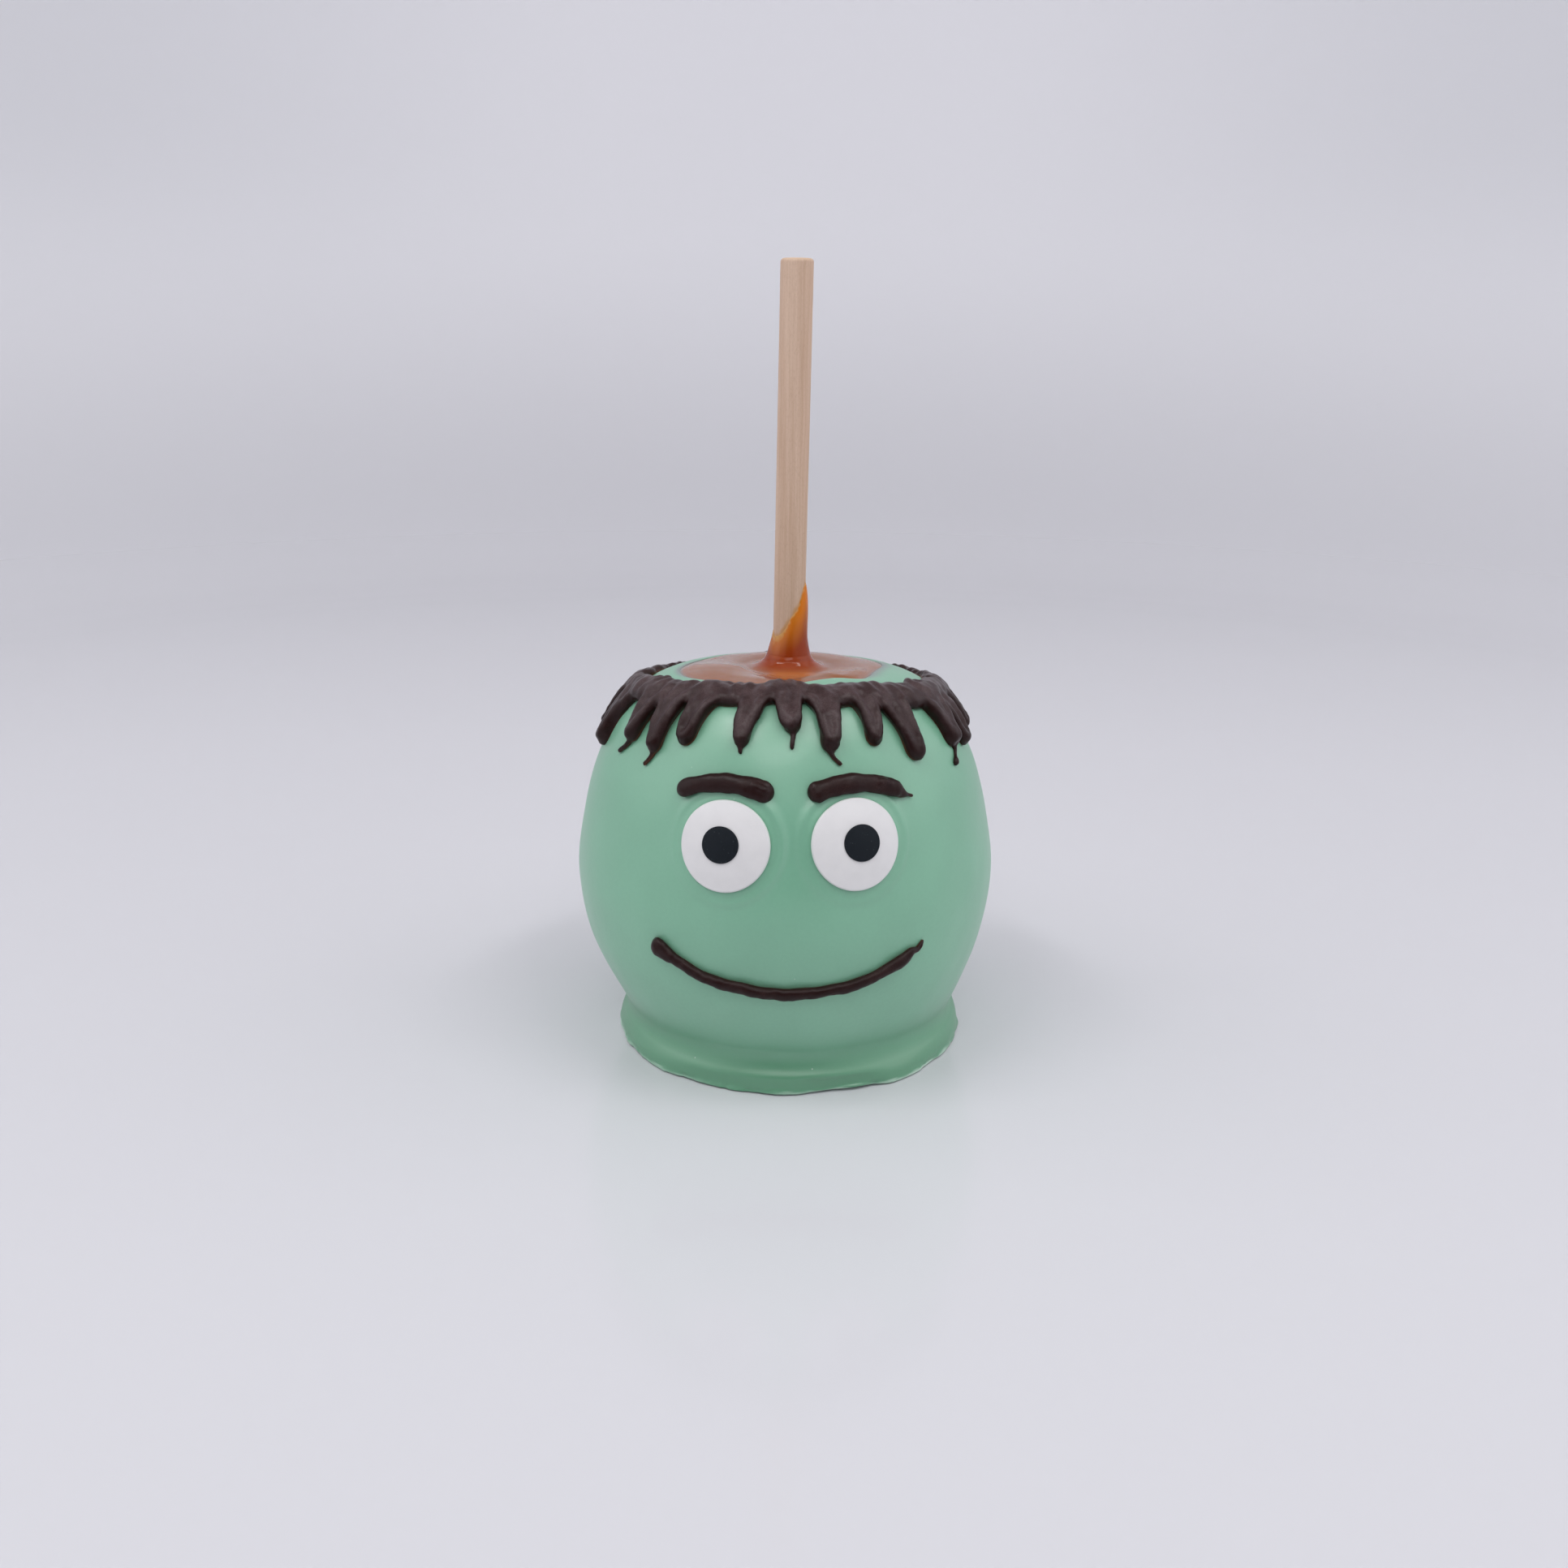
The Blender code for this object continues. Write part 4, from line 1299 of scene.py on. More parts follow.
    def ring_collar(self, surface: Array, azimuth: Array) -> None:
        """Press faint rings into the front of the collar: a cosine of the height.

        Args:
            surface: the caramel's rings, which are changed.
            azimuth: azimuths of the columns.
        """
        height = surface[..., 2] - self.apple.top
        front = smooth_step(np.cos(azimuth), 0.2, 0.8)
        waved = height + 0.05 * MM * np.cos(7.0 * azimuth + 1.0)
        ring = self.ring_depth * front * np.cos(TURN * waved / self.ring_spacing)
        ring = ring * smooth_step(height, 0.7 * MM, 1.1 * MM) * smooth_step(height, 4.0 * MM, 3.5 * MM)
        surface[..., 0] += ring * np.sin(azimuth)
        surface[..., 1] -= ring * np.cos(azimuth)

    def marks(self, surface: Array, azimuth: Array, outer: Array) -> dict[str, Array]:
        """What the finish reads at each point, as numbers from 0 to 1.

        Args:
            surface: the caramel's finished rings.
            azimuth: azimuths of the columns.
            outer: radius of the pool's edge in each column.

        Returns:
            Deep red-brown caramel by the collar, thin amber caramel up the stick, a painted amber glow of
            light through the caramel in front of the collar, the candy's veil over the rim, the film's pale
            edge, and a line of bubbles.
        """
        climb = self.climb(azimuth)
        centre = self.axis.centre(surface[..., 2])
        from_stick = np.hypot(surface[..., 0] - centre[..., 0], surface[..., 1] - centre[..., 1])
        above = surface[..., 2] - self.apple.top
        spread = np.hypot(surface[..., 0] - self.apple.shift, surface[..., 1])
        deep = smooth_step(from_stick, 9.0 * MM, 4.6 * MM) * smooth_step(above / climb, 1.05, 0.35)
        right = 0.5 + 0.5 * np.cos(azimuth - math.radians(88.0))
        ragged = 0.06 * ripple(surface * (1.0, 1.0, 0.4), 2.6 * MM, 17)
        amber = smooth_step(above / climb + ragged, 0.30, 0.98) * (0.60 + 0.40 * right)
        # Painted glow: amber brightening in front of the collar, standing in for light refracted through
        # the caramel.
        painted_glow = smooth_step(from_stick, 6.0 * MM, 7.6 * MM) * smooth_step(from_stick, 12.5 * MM, 9.0 * MM)
        painted_glow = painted_glow * smooth_step(np.cos(azimuth - math.radians(6.0)), math.cos(0.75), math.cos(0.35))
        faded = 0.7 * MM + 1.2 * MM * smooth_step(right, 0.7, 0.2)
        frayed = climb - above + 0.25 * MM * ripple(surface, 1.1 * MM, 19)
        x, y = surface[..., 0], surface[..., 1]
        line = np.exp(-((y - 0.18 * (x - 13.0 * MM) + 2.2 * MM) / (0.75 * MM)) ** 2)
        line = line * smooth_step(x, 7.5 * MM, 9.5 * MM) * smooth_step(x, 20.0 * MM, 17.5 * MM)
        return {
            "deep": 0.9 * deep,
            "amber": np.maximum(amber, 0.32 * painted_glow),
            "veil": smooth_step(spread - outer, -0.9 * MM, 0.1 * MM) * np.abs(np.sin(azimuth)) ** 3,
            "edge": smooth_step(frayed / faded, 1.0, 0.0),
            "froth": line * smooth_step(above, 2.0 * MM, 1.5 * MM),
        }

    def build(self) -> None:
        """Make the caramel, with its depth, its thin amber parts with the painted glow, and its rim stored
        for the finish.
        """
        azimuth = columns_of(self.columns)
        outer = self.apple.pool_radius(azimuth)
        surface = self.outline(azimuth, outer)
        self.raise_pool(surface, outer)
        self.ring_collar(surface, azimuth)
        hidden = self.axis.ring(azimuth, self.inner, self.apple.top - self.depth)
        surface = np.concatenate((hidden[None], surface))
        mesh = Shell.from_rings(surface).to_mesh("caramel")
        for name, values in self.marks(surface, azimuth, outer).items():
            tag(mesh, name, values)
        place(mesh, Caramel(), "caramel_pool")


@dataclass
class WoodenStick:
    """Round wooden stick with eased ends, stained a little above the caramel's edge."""

    axis: StickAxis
    caramel_edge: Callable[[Array], Array]
    columns: int = 72
    edge: float = 0.7 * MM
    edge_rows: int = 8
    rows: int = 420
    shrink: float = 0.02 * MM
    flat_depth: float = 0.012 * MM
    stain_reach: float = 1.3 * MM

    def build(self) -> None:
        """Make the stick: a circle carried along its axis, with a quarter circle at both ends."""
        axis = self.axis
        azimuth = columns_of(self.columns)
        turn = np.linspace(0.0, 0.5 * math.pi, self.edge_rows)
        height = np.concatenate((
            axis.bottom + self.edge * (1.0 - np.cos(turn)),
            np.linspace(axis.bottom + self.edge, axis.top - self.edge, self.rows)[1:-1],
            axis.top - self.edge * (1.0 - np.sin(turn)),
        ))
        inset = np.concatenate((
            self.edge * (1.0 - np.sin(turn)), np.zeros(self.rows - 2), self.edge * (1.0 - np.cos(turn))))
        flats = self.flat_depth * np.cos(3.0 * azimuth + 1.0)[None, :] * np.cos(90.0 * height)[:, None]
        radius = axis.radius - self.shrink - inset[:, None] + flats
        rings = axis.ring(azimuth[None, :], radius, height[:, None])
        shell = Shell.from_rings(rings, axis.centre(axis.bottom), axis.centre(axis.top))
        mesh = shell.to_mesh("wooden_stick")
        end = smooth_step(height, axis.top - 0.75 * self.edge, axis.top - 0.1 * self.edge)
        tag(mesh, "end", np.concatenate((np.repeat(end, self.columns), (0.0, 1.0))))
        above = height[:, None] - axis.foot_height - self.caramel_edge(azimuth)
        above = above + 0.35 * MM * ripple(rings * (1.0, 1.0, 0.3), 1.3 * MM, 23)
        stain = smooth_step(above, self.stain_reach, 0.0)
        tag(mesh, "stain", np.concatenate((stain.ravel(), (0.0, 0.0))))
        place(mesh, BirchWood(), "stick")


@dataclass
class Piping:
    """Beads of chocolate laid on the coat."""

    apple: AppleSurface
    columns: int = 20
    drip_radius: float = 32.0 * MM
    drawn: float = 0.28
    sheen_start: float = 66.0 * MM
    sheen_full: float = 75.5 * MM

    def ovals(self, path: Array, along: Array, normal: Array, half_width: Array, crest: Array,
              half_thickness: Array) -> Array:
        """Rings of an oval carried along a path on the coat, across the path.

        Args:
            path: points of the path.
            along: vectors along it.
            normal: unit vectors that point away from the coat.
            half_width: half widths across the path.
            crest: heights of the top of the bead above the coat.
            half_thickness: half thicknesses along the coat's normal.

        Returns:
            One ring a point of the path.
        """
        across = np.cross(along / np.linalg.norm(along, axis=1)[:, None], normal)
        angle = (np.arange(self.columns) * TURN / self.columns)[None, :, None]
        middle = path + (crest - half_thickness)[:, None] * normal
        return (
            middle[:, None, :] + half_width[:, None, None] * np.cos(angle) * across[:, None, :]
            + half_thickness[:, None, None] * np.sin(angle) * normal[:, None, :]
        )

    def bead(self, azimuth: Array, step: Array, half_width: Array, crest: Array,
             half_thickness: Array) -> Shell:
        """Closed bead along an open path.

        Args:
            azimuth: azimuths of the path.
            step: steps of the path.
            half_width: half widths across the path.
            crest: heights of the top of the bead above the coat.
            half_thickness: half thicknesses along the coat's normal.

        Returns:
            The bead, with a pole at each end.
        """
        path, normal = self.apple.point(azimuth, step), self.apple.normal(azimuth, step)
        along = np.gradient(path, axis=0)
        rings = self.ovals(path, along, normal, half_width, crest, half_thickness)
        return Shell.from_rings(rings, rings[0].mean(axis=0), rings[-1].mean(axis=0))

    def loop(self, azimuth: Array, step: Array, half_width: Array, crest: Array,
             half_thickness: float) -> Shell:
        """Closed bead along a closed path.

        Args:
            azimuth: azimuths of the path.
            step: steps of the path.
            half_width: half widths across the path.
            crest: heights of the top of the bead above the coat.
            half_thickness: one half thickness for the whole path.

        Returns:
            The bead, as a ring without ends.
        """
        path, normal = self.apple.point(azimuth, step), self.apple.normal(azimuth, step)
        along = np.roll(path, -1, axis=0) - np.roll(path, 1, axis=0)
        even = np.full(len(path), half_thickness)
        return Shell.from_rings(self.ovals(path, along, normal, half_width, crest, even))

    def unrolled(self, points: Array) -> Array:
        """Points as a way round and a way down, drawn out so that a ripple of them folds downwards.

        Args:
            points: rows of points.

        Returns:
            Rows of the way round, and of height and radius shortened.
        """
        x, y = points[:, 0] - self.apple.shift, points[:, 1]
        way_round = np.arctan2(x, -y) * self.drip_radius
        way_down = self.drawn * points[:, 2], self.drawn * np.hypot(x, y)
        return np.stack((way_round, *way_down), axis=-1)

    def finish(self, mesh: bpy.types.Mesh, stands_for: str, roughen: float, folds: float,
               seed: int) -> None:
        """Roughen a melted mesh a little, store where it is thin and where the painted sheen goes, and
        place it.

        Args:
            mesh: the melted beads.
            stands_for: name of the CAD node that they replace.
            roughen: size of the unevenness.
            folds: size of the long folds, as a multiple of the unevenness.
            seed: seed of both.
        """
        points, normals = mesh_points(mesh), mesh_points(mesh, "normal")
        lift = self.apple.lift_of(points)
        swell = ripple(points, 3.4 * MM, seed) + 0.5 * ripple(points, 1.5 * MM, seed + 1)
        swell = swell + folds * ripple(self.unrolled(points), 2.0 * MM, seed + 2)
        points = points + normals * (roughen * swell * smooth_step(lift, 0.1 * MM, 0.8 * MM))[:, None]
        mesh.vertices.foreach_set("co", points.ravel())
        mesh.update()
        # Painted sheen goes on faces that point upwards, near the top of the apple.
        raised = smooth_step(normals[:, 2], 0.0, 0.8)
        raised = raised * (0.25 + 0.75 * smooth_step(lift, 0.8 * MM, 2.6 * MM))
        tag(mesh, "thin", smooth_step(lift, 0.55 * MM, 0.1 * MM))
        tag(mesh, "painted_sheen", raised * smooth_step(points[:, 2], self.sheen_start, self.sheen_full))
        place(mesh, DarkChocolate(), stands_for)


def rounded_end(t: Array, start: float) -> Array:
    """1 up to t = start, then a quarter circle down to nearly 0 at t = 1."""
    past = np.clip((t - start) / (1.0 - start), 0.0, 0.999)
    return np.sqrt(1.0 - past**2)


def rounded_ends(t: Array, first: float, last: float) -> Array:
    """1 along a stroke, with a quarter circle down to nearly 0 over its first and last share."""
    near = np.clip(np.minimum(t / first, (1.0 - t) / last), 0.001, 1.0)
    return np.sqrt(1.0 - (1.0 - near) ** 2)


def end_spacing(count: int) -> Array:
    """Parameters from 0 to 1 that are closer together near both ends."""
    even = np.linspace(0.0, 1.0, count)
    return 0.5 * even + 0.25 * (1.0 - np.cos(math.pi * even))


@dataclass
class ChocolateDrips:
    """Band of chocolate round the top with drips that run down from it."""

    piping: Piping
    count: int = 24
    seed: int = 11
    shortest: float = 9.0 * MM
    longest_front: float = 13.4 * MM
    longest_back: float = 19.0 * MM
    start: float = 1.7 * MM
    web_half_width: float = 5.1 * MM
    half_width: float = 2.5 * MM
    crest_top: float = 2.5 * MM
    crest: float = 2.1 * MM
    half_thickness: float = 1.7 * MM
    band_front: float = 24.0 * MM
    band_back: float = 33.0 * MM
    band_half_width: float = 3.1 * MM
    voxel: float = 0.32 * MM
    lace_half_width: float = 0.85 * MM
    strand_half_width: float = 1.15 * MM
    strand_down: tuple = (0.05, 0.10, 0.42, 0.80, 0.885, 0.80, 0.42, 0.10, 0.05)
    strand_aside: tuple = (-0.86, -0.80, -0.60, -0.42, 0.0, 0.42, 0.60, 0.80, 0.86)
    strand_rise: tuple = (0.1, 0.3, 0.9, 1.0, 1.0, 1.0, 0.9, 0.3, 0.1)
    tail_share: float = 0.34
    tail_start: float = 0.9 * MM
    zigzag: list = field(default_factory=list)

    def band_radius(self, azimuth: Array) -> Array:
        """Radius of the band's middle: close to the pool at the front, wider elsewhere."""
        return self.band_front + (self.band_back - self.band_front) * np.abs(np.sin(0.5 * azimuth))

    def band(self) -> Shell:
        """Uneven bead all the way round the top.

        Returns:
            The closed bead.
        """
        azimuth = columns_of(360)
        apple = self.piping.apple
        step = apple.step_at_radius(self.band_radius(azimuth)) + 0.35 * MM * np.cos(9.0 * azimuth)
        step = step + 0.18 * MM * np.cos(23.0 * azimuth + 1.0)
        wider = 1.0 + 0.10 * np.cos(7.0 * azimuth + 1.0) + 0.05 * np.cos(19.0 * azimuth)
        higher = 1.0 + 0.08 * np.cos(11.0 * azimuth) + 0.05 * np.cos(26.0 * azimuth + 2.0)
        return self.piping.loop(azimuth, step, self.band_half_width * wider, self.crest_top * higher,
                                1.1 * self.half_thickness)

    def lace(self, inward: float, phase: float) -> Shell:
        """Thin wavy bead all the way round on the crest of the band.

        Args:
            inward: mean distance from the middle of the band towards the pool.
            phase: where its waves start.

        Returns:
            The closed bead.
        """
        azimuth = columns_of(420)
        step = self.piping.apple.step_at_radius(self.band_radius(azimuth)) + inward
        step = step + 0.75 * MM * np.cos(11.0 * azimuth + phase)
        step = step + 0.4 * MM * np.cos(17.0 * azimuth + 3.0 * phase)
        crest = 2.35 * MM + 0.22 * MM * np.cos(13.0 * azimuth + 2.0 * phase) - 0.16 * inward
        width = np.full_like(azimuth, self.lace_half_width)
        return self.piping.loop(azimuth, step, width, crest, 0.8 * MM)

    def drip(self, index: int, draw: random.Random, detail: np.random.Generator) -> list[Shell]:
        """Beads of one drip: its body, and on some a thin tail. The strand's places are kept.

        Args:
            index: number of the drip round the apple.
            draw: source of its place, length and size, as in the CAD model.
            detail: source of what only this model has.

        Returns:
            Overlapping shells.
        """
        apple, bead = self.piping.apple, self.piping.bead
        centre = (index + draw.uniform(-0.22, 0.22)) * TURN / self.count
        reach = (draw.random() + index % 2) / 2.0
        side = np.sin(0.5 * centre) ** 2
        longest = self.longest_front + (self.longest_back - self.longest_front) * side
        length = self.shortest + (longest - self.shortest) * reach
        drift = draw.uniform(-0.05, 0.05)
        size = draw.uniform(0.92, 1.08)
        t = end_spacing(72)
        start = apple.step_at_radius(self.band_radius(centre)) + self.start
        step = start - t * (length + self.start)
        azimuth = centre + drift * t**1.5
        taper = np.clip(t / 0.6, 0.0, 1.0)
        neck = self.half_width * detail.uniform(0.58, 0.86)
        spread = (self.web_half_width - neck) * np.clip(1.0 - t / 0.86, 0.0, 1.0) ** 1.9
        bulb = detail.uniform(0.05, 0.45) * MM * smooth_step(t, 0.55, 0.85)
        closing = rounded_end(t, 1.0 - 1.15 * neck / length) * rounded_end(1.0 - t, 0.90)
        width = (neck + spread + bulb) * size * closing
        crest = (self.crest_top + (self.crest - self.crest_top) * taper) * size * (0.25 + 0.75 * closing)
        thickness = np.minimum(self.half_thickness, 0.35 * MM + 0.62 * (neck + spread + bulb))
        shells = [bead(azimuth, step, width, crest, thickness * closing * size)]
        self.leave_strand(t, azimuth, step, width, crest, side, detail)
        if detail.random() < self.tail_share:
            shells.append(self.tail(azimuth[-1], step[-1], detail))
        return shells

    def leave_strand(self, t: Array, azimuth: Array, step: Array, width: Array, crest: Array,
                     side: float, detail: np.random.Generator) -> None:
        """Keep the places where the strand runs down and up one drip.

        Args:
            t: share of the drip's length at each place of its path.
            azimuth: azimuths of the path.
            step: steps of the path.
            width: half widths of the drip.
            crest: heights of its top.
            side: 0 for a drip at the front, up to 1 at the back, where some places move inwards.
            detail: source of the unevenness.
        """
        count = len(self.strand_down)
        down = np.array(self.strand_down) + detail.uniform(-0.03, 0.03, count)
        aside = np.array(self.strand_aside) + detail.uniform(-0.12, 0.12, count)
        around = self.piping.apple.radius_at(step)
        wander = aside * np.interp(down, t, width) / np.interp(down, t, around)
        inward = (detail.uniform(-0.3, 0.5) + detail.uniform(0.0, 6.0) * side) * MM
        from_end = np.abs(np.arange(count) - detail.choice((0, count - 1)))
        inward = inward * np.clip(1.0 - from_end / 3.0, 0.0, 1.0)
        self.zigzag.append(np.stack((
            np.interp(down, t, azimuth) + wander,
            np.interp(down, t, step) + inward,
            np.interp(down, t, crest) + detail.uniform(0.20, 0.60, count) * MM * self.strand_rise
            - 0.5 * MM * np.abs(aside) ** 2,
        ), axis=-1))

    def tail(self, azimuth: float, step: float, detail: np.random.Generator) -> Shell:
        """Thin bent tail that hangs from the end of a drip, with a small drop at its tip.

        Args:
            azimuth: azimuth of the drip's end.
            step: step of the drip's end.
            detail: source of its length and bend.

        Returns:
            The closed bead.
        """
        length = detail.uniform(1.0, 3.0) * MM
        lean = detail.uniform(-1.2, 1.2)
        share = np.linspace(0.0, 1.0, 24)
        run = -self.tail_start + share * (length + self.tail_start)
        bend = lean * share**2 * length / self.piping.apple.radius_at(step)
        girth = (0.62 - 0.22 * share + 0.14 * smooth_step(share, 0.75, 0.95)) * MM
        girth = girth * rounded_end(share, 0.86)
        return self.piping.bead(azimuth + bend, step - run, girth, girth + 0.35 * MM, girth)

    def strand(self) -> Shell:
        """Bead piped to and fro round the top: down and up each drip, and over to the next.

        A cubic curve runs through the places that the drips left for it.

        Returns:
            The closed bead.
        """
        knots = np.concatenate(self.zigzag)
        knots = np.concatenate((knots, knots[:1] + (TURN, 0.0, 0.0)))
        places = np.arange(len(knots), dtype=float)
        path = curve_through(knots, places, np.linspace(0.0, places[-1], 12 * len(knots)))[:-1]
        girth = self.strand_half_width * (1.0 + 0.16 * np.sin(np.arange(len(path)) * 0.043) ** 3)
        return self.piping.loop(path[:, 0], path[:, 1], girth, path[:, 2], self.strand_half_width)

    def build(self) -> None:
        """Melt the band and the drips into one skin."""
        draw = random.Random(self.seed)
        detail = np.random.default_rng(self.seed)
        shells = [self.band(), self.lace(1.9 * MM, 0.0), self.lace(0.2 * MM, 2.2)]
        for index in range(self.count):
            shells += self.drip(index, draw, detail)
        shells.append(self.strand())
        mesh = melt("chocolate_drips_piped", shells, self.voxel, 4)
        self.piping.finish(mesh, "chocolate_drips", 0.06 * MM, 2.2, 21)


@dataclass
class Brow:
    """Short arched stroke of chocolate above an eye."""

    piping: Piping
    face: FaceLayout
    side: Side
    length: float = 19.0 * MM
    half_width: float = 2.1 * MM
    crest: float = 1.9 * MM
    height: float = 64.0 * MM
    arch: float = 2.2 * MM
    tilt: float = 1.1 * MM
    spread: float = 1.12
    fold_start: dict = field(default_factory=lambda: {Side.LEFT: 0.04, Side.RIGHT: 0.66})
    fold_length: float = 0.22

    def fold(self, t: Array, azimuth: Array, step: Array) -> Shell:
        """Short bead on the stroke, where the chocolate was laid double.

        Args:
            t: share of the stroke's length at each place of its path.
            azimuth: azimuths of the path.
            step: steps of the path.

        Returns:
            The closed bead.
        """
        share = end_spacing(40)
        at = self.fold_start[self.side] + self.fold_length * share
        fold_step = np.interp(at, t, step) + 0.5 * MM * np.sin(math.pi * share) - 0.2 * MM
        ends = rounded_end(share, 0.7) * rounded_end(1.0 - share, 0.7)
        return self.piping.bead(np.interp(at, t, azimuth), fold_step, 0.95 * MM * ends,
                                (self.crest + 0.20 * MM) * (0.5 + 0.5 * ends), 0.75 * MM * ends)

    def tail(self, azimuth: float, step: float) -> Shell:
        """Thin tail that the nozzle drew down and out from the end of the stroke.

        Args:
            azimuth: azimuth of the stroke's end.
            step: step of the stroke's end.

        Returns:
            The closed bead.
        """
        share = np.linspace(0.0, 1.0, 20)
        run = (-1.6 + 4.6 * share) * MM
        tail_azimuth = azimuth + self.side.value * run * 0.75 / self.piping.apple.radius_at(step)
        tail_step = step - 0.42 * run - 0.2 * MM * np.sin(5.0 * share)
        girth = (1.25 - 0.90 * smooth_step(share, 0.0, 0.75)) * MM * rounded_end(share, 0.88)
        return self.piping.bead(tail_azimuth, tail_step, girth, girth + 0.35 * MM, girth)

    def build(self) -> None:
        """Melt the stroke, the fold on it and, on the right, the tail where the nozzle left."""
        apple, bead = self.piping.apple, self.piping.bead
        sign = self.side.value
        t = end_spacing(90)
        centre = self.face.azimuth(self.side, self.spread)
        step = apple.step_at_height(self.height - self.arch)
        step = step + self.arch * (1.0 - (2.0 * t - 1.0) ** 2) - self.tilt * t
        azimuth = centre + sign * (t - 0.5) * self.length / apple.radius_at(step)
        ends = rounded_ends(t, 0.11, 0.11)
        uneven = 1.0 + 0.05 * np.sin(17.0 * t + sign) + 0.03 * np.sin(31.0 * t)
        width = self.half_width * ends * (1.0 - 0.22 * t) * uneven
        crest = self.crest * ends * (1.0 + 0.06 * np.sin(13.0 * t + 2.0 * sign))
        shells = [bead(azimuth, step, width, crest, 0.58 * self.crest * ends)]
        shells.append(self.fold(t, azimuth, step))
        if self.side is Side.RIGHT:
            shells.append(self.tail(azimuth[-1], step[-1]))
        name = f"brow_{self.side.name.lower()}"
        mesh = melt(f"{name}_piped", shells, 0.2 * MM, 4)
        self.piping.finish(mesh, name, 0.035 * MM, 0.0, 31)


@dataclass
class Smile:
    """Long piped line that curves upwards, with a bulb at its start and a thin tail at its end."""

    piping: Piping
    face: FaceLayout
    reach: float = math.radians(36.5)
    height: float = 24.8 * MM
    rise: float = 7.5 * MM
    half_width: float = 1.20 * MM
    bulb: float = 0.95 * MM
    crest: float = 1.75 * MM

    def build(self) -> None:
        """Make the line, and melt it lightly."""
        apple, bead = self.piping.apple, self.piping.bead
        t = end_spacing(240)
        azimuth = self.face.middle + self.reach * (2.0 * t - 1.0)
        step = apple.step_at_height(self.height + self.rise * np.abs(2.0 * t - 1.0) ** 2.2)
        step = step + 0.12 * MM * np.sin(23.0 * t) + 0.07 * MM * np.sin(61.0 * t)
        ends = rounded_ends(t, 0.035, 0.016)
        bulb = self.bulb * np.clip(1.0 - t / 0.09, 0.0, 1.0)
        tail = smooth_step(t, 0.90, 0.985)
        step = step + 0.45 * MM * tail * np.sin(95.0 * t + 0.4)
        uneven = 1.0 + 0.11 * np.sin(21.0 * t + 1.0) * np.sin(9.0 * t)
        uneven = uneven + 0.05 * np.sin(47.0 * t) * np.sin(13.0 * t)
        width = (self.half_width * uneven * (1.0 - 0.62 * tail) + bulb) * ends
        crest = (self.crest * (1.0 + 0.05 * np.sin(37.0 * t)) * (1.0 - 0.45 * tail) + 0.5 * bulb) * ends
        mesh = melt("smile_piped", [bead(azimuth, step, width, crest, 0.58 * crest)], 0.2 * MM, 3)
        self.piping.finish(mesh, "smile", 0.05 * MM, 0.0, 41)


@dataclass
class SugarEye:
    """White sugar disc with a flat dark drop on it, both draped over the coat."""

    apple: AppleSurface
    face: FaceLayout
    side: Side
    edge: float = 1.1 * MM
    dome: float = 0.7 * MM
    rim: float = 0.42 * MM
    pupil_radius: float = 3.38 * MM
    pupil_sunk: float = 0.12 * MM
    pupil_edge: float = 0.34 * MM
    pupil_dome: float = 0.26 * MM
    pupil_rim: float = 0.2 * MM
    pupil_outward: dict = field(default_factory=lambda: {Side.LEFT: 0.45 * MM, Side.RIGHT: 0.75 * MM})
    pupil_rise: float = 0.3 * MM
    columns: int = 128

    def disc(self, name: str, centre: float, middle_height: float, radius: float, base: float,
             edge: float, dome: float, rim: float) -> tuple[bpy.types.Mesh, Array]:
        """Round disc on the coat: a rounded rim, then a low dome.

        The rim is part of a circle in section. On top, the lift grows as the square of the
        distance from the rim goes to the middle.

        Args:
            name: name of the mesh.
            centre: azimuth of its middle.
            middle_height: height of the outline there.
            radius: radius on the coat.
            base: lift of its underside.
            edge: height of the rim's top above its underside.
            dome: how much higher the middle is.
            rim: radius of the rounded rim.

        Returns:
            The mesh, and each ring's share of the radius.
        """
        turn = np.linspace(-0.35 * math.pi, 0.5 * math.pi, 12)
        flat = 1.0 - rim / radius
        inner = flat * np.linspace(1.0, 0.0, 22)[1:-1]
        share = np.concatenate(((flat,), flat + rim / radius * np.cos(turn), inner))
        domed = base + edge + dome * (1.0 - (inner / flat) ** 2)
        lift = np.concatenate(((base,), base + edge - rim + rim * np.sin(turn), domed))
        around = np.arange(self.columns) * TURN / self.columns
        middle_step = self.apple.step_at_height(middle_height)
        step = middle_step + radius * share[:, None] * np.sin(around)
        azimuth = centre + radius * share[:, None] * np.cos(around) / self.apple.radius_at(step)
        rings = self.apple.point(azimuth, step, lift[:, None])
        start = self.apple.point(centre, middle_step, base)
        end = self.apple.point(centre, middle_step, base + edge + dome)
        return Shell.from_rings(rings, start, end).to_mesh(name), share

    def build(self) -> None:
        """Make the disc and the drop."""
        name = self.side.name.lower()
        centre = self.face.azimuth(self.side)
        height = self.face.height(self.side)
        mesh, share = self.disc(f"eye_{name}_disc", centre, height, self.face.eye_radius, 0.0,
                                self.edge, self.dome, self.rim)
        stain = np.repeat(smooth_step(share, 0.955, 0.995), self.columns)
        tag(mesh, "rim", np.concatenate((stain, (1.0, 0.0))))
        place(mesh, WhiteSugar(), f"eye_{name}")
        outward = self.side.value * self.pupil_outward[self.side] / self.apple.radius.max()
        base = self.edge + self.dome - self.pupil_sunk
        mesh, _ = self.disc(f"pupil_{name}_drop", centre + outward, height + self.pupil_rise,
                            self.pupil_radius, base, self.pupil_edge, self.pupil_dome, self.pupil_rim)
        place(mesh, BlackSugar(), f"pupil_{name}")


# ---------------------------------------------------------------- studio and camera


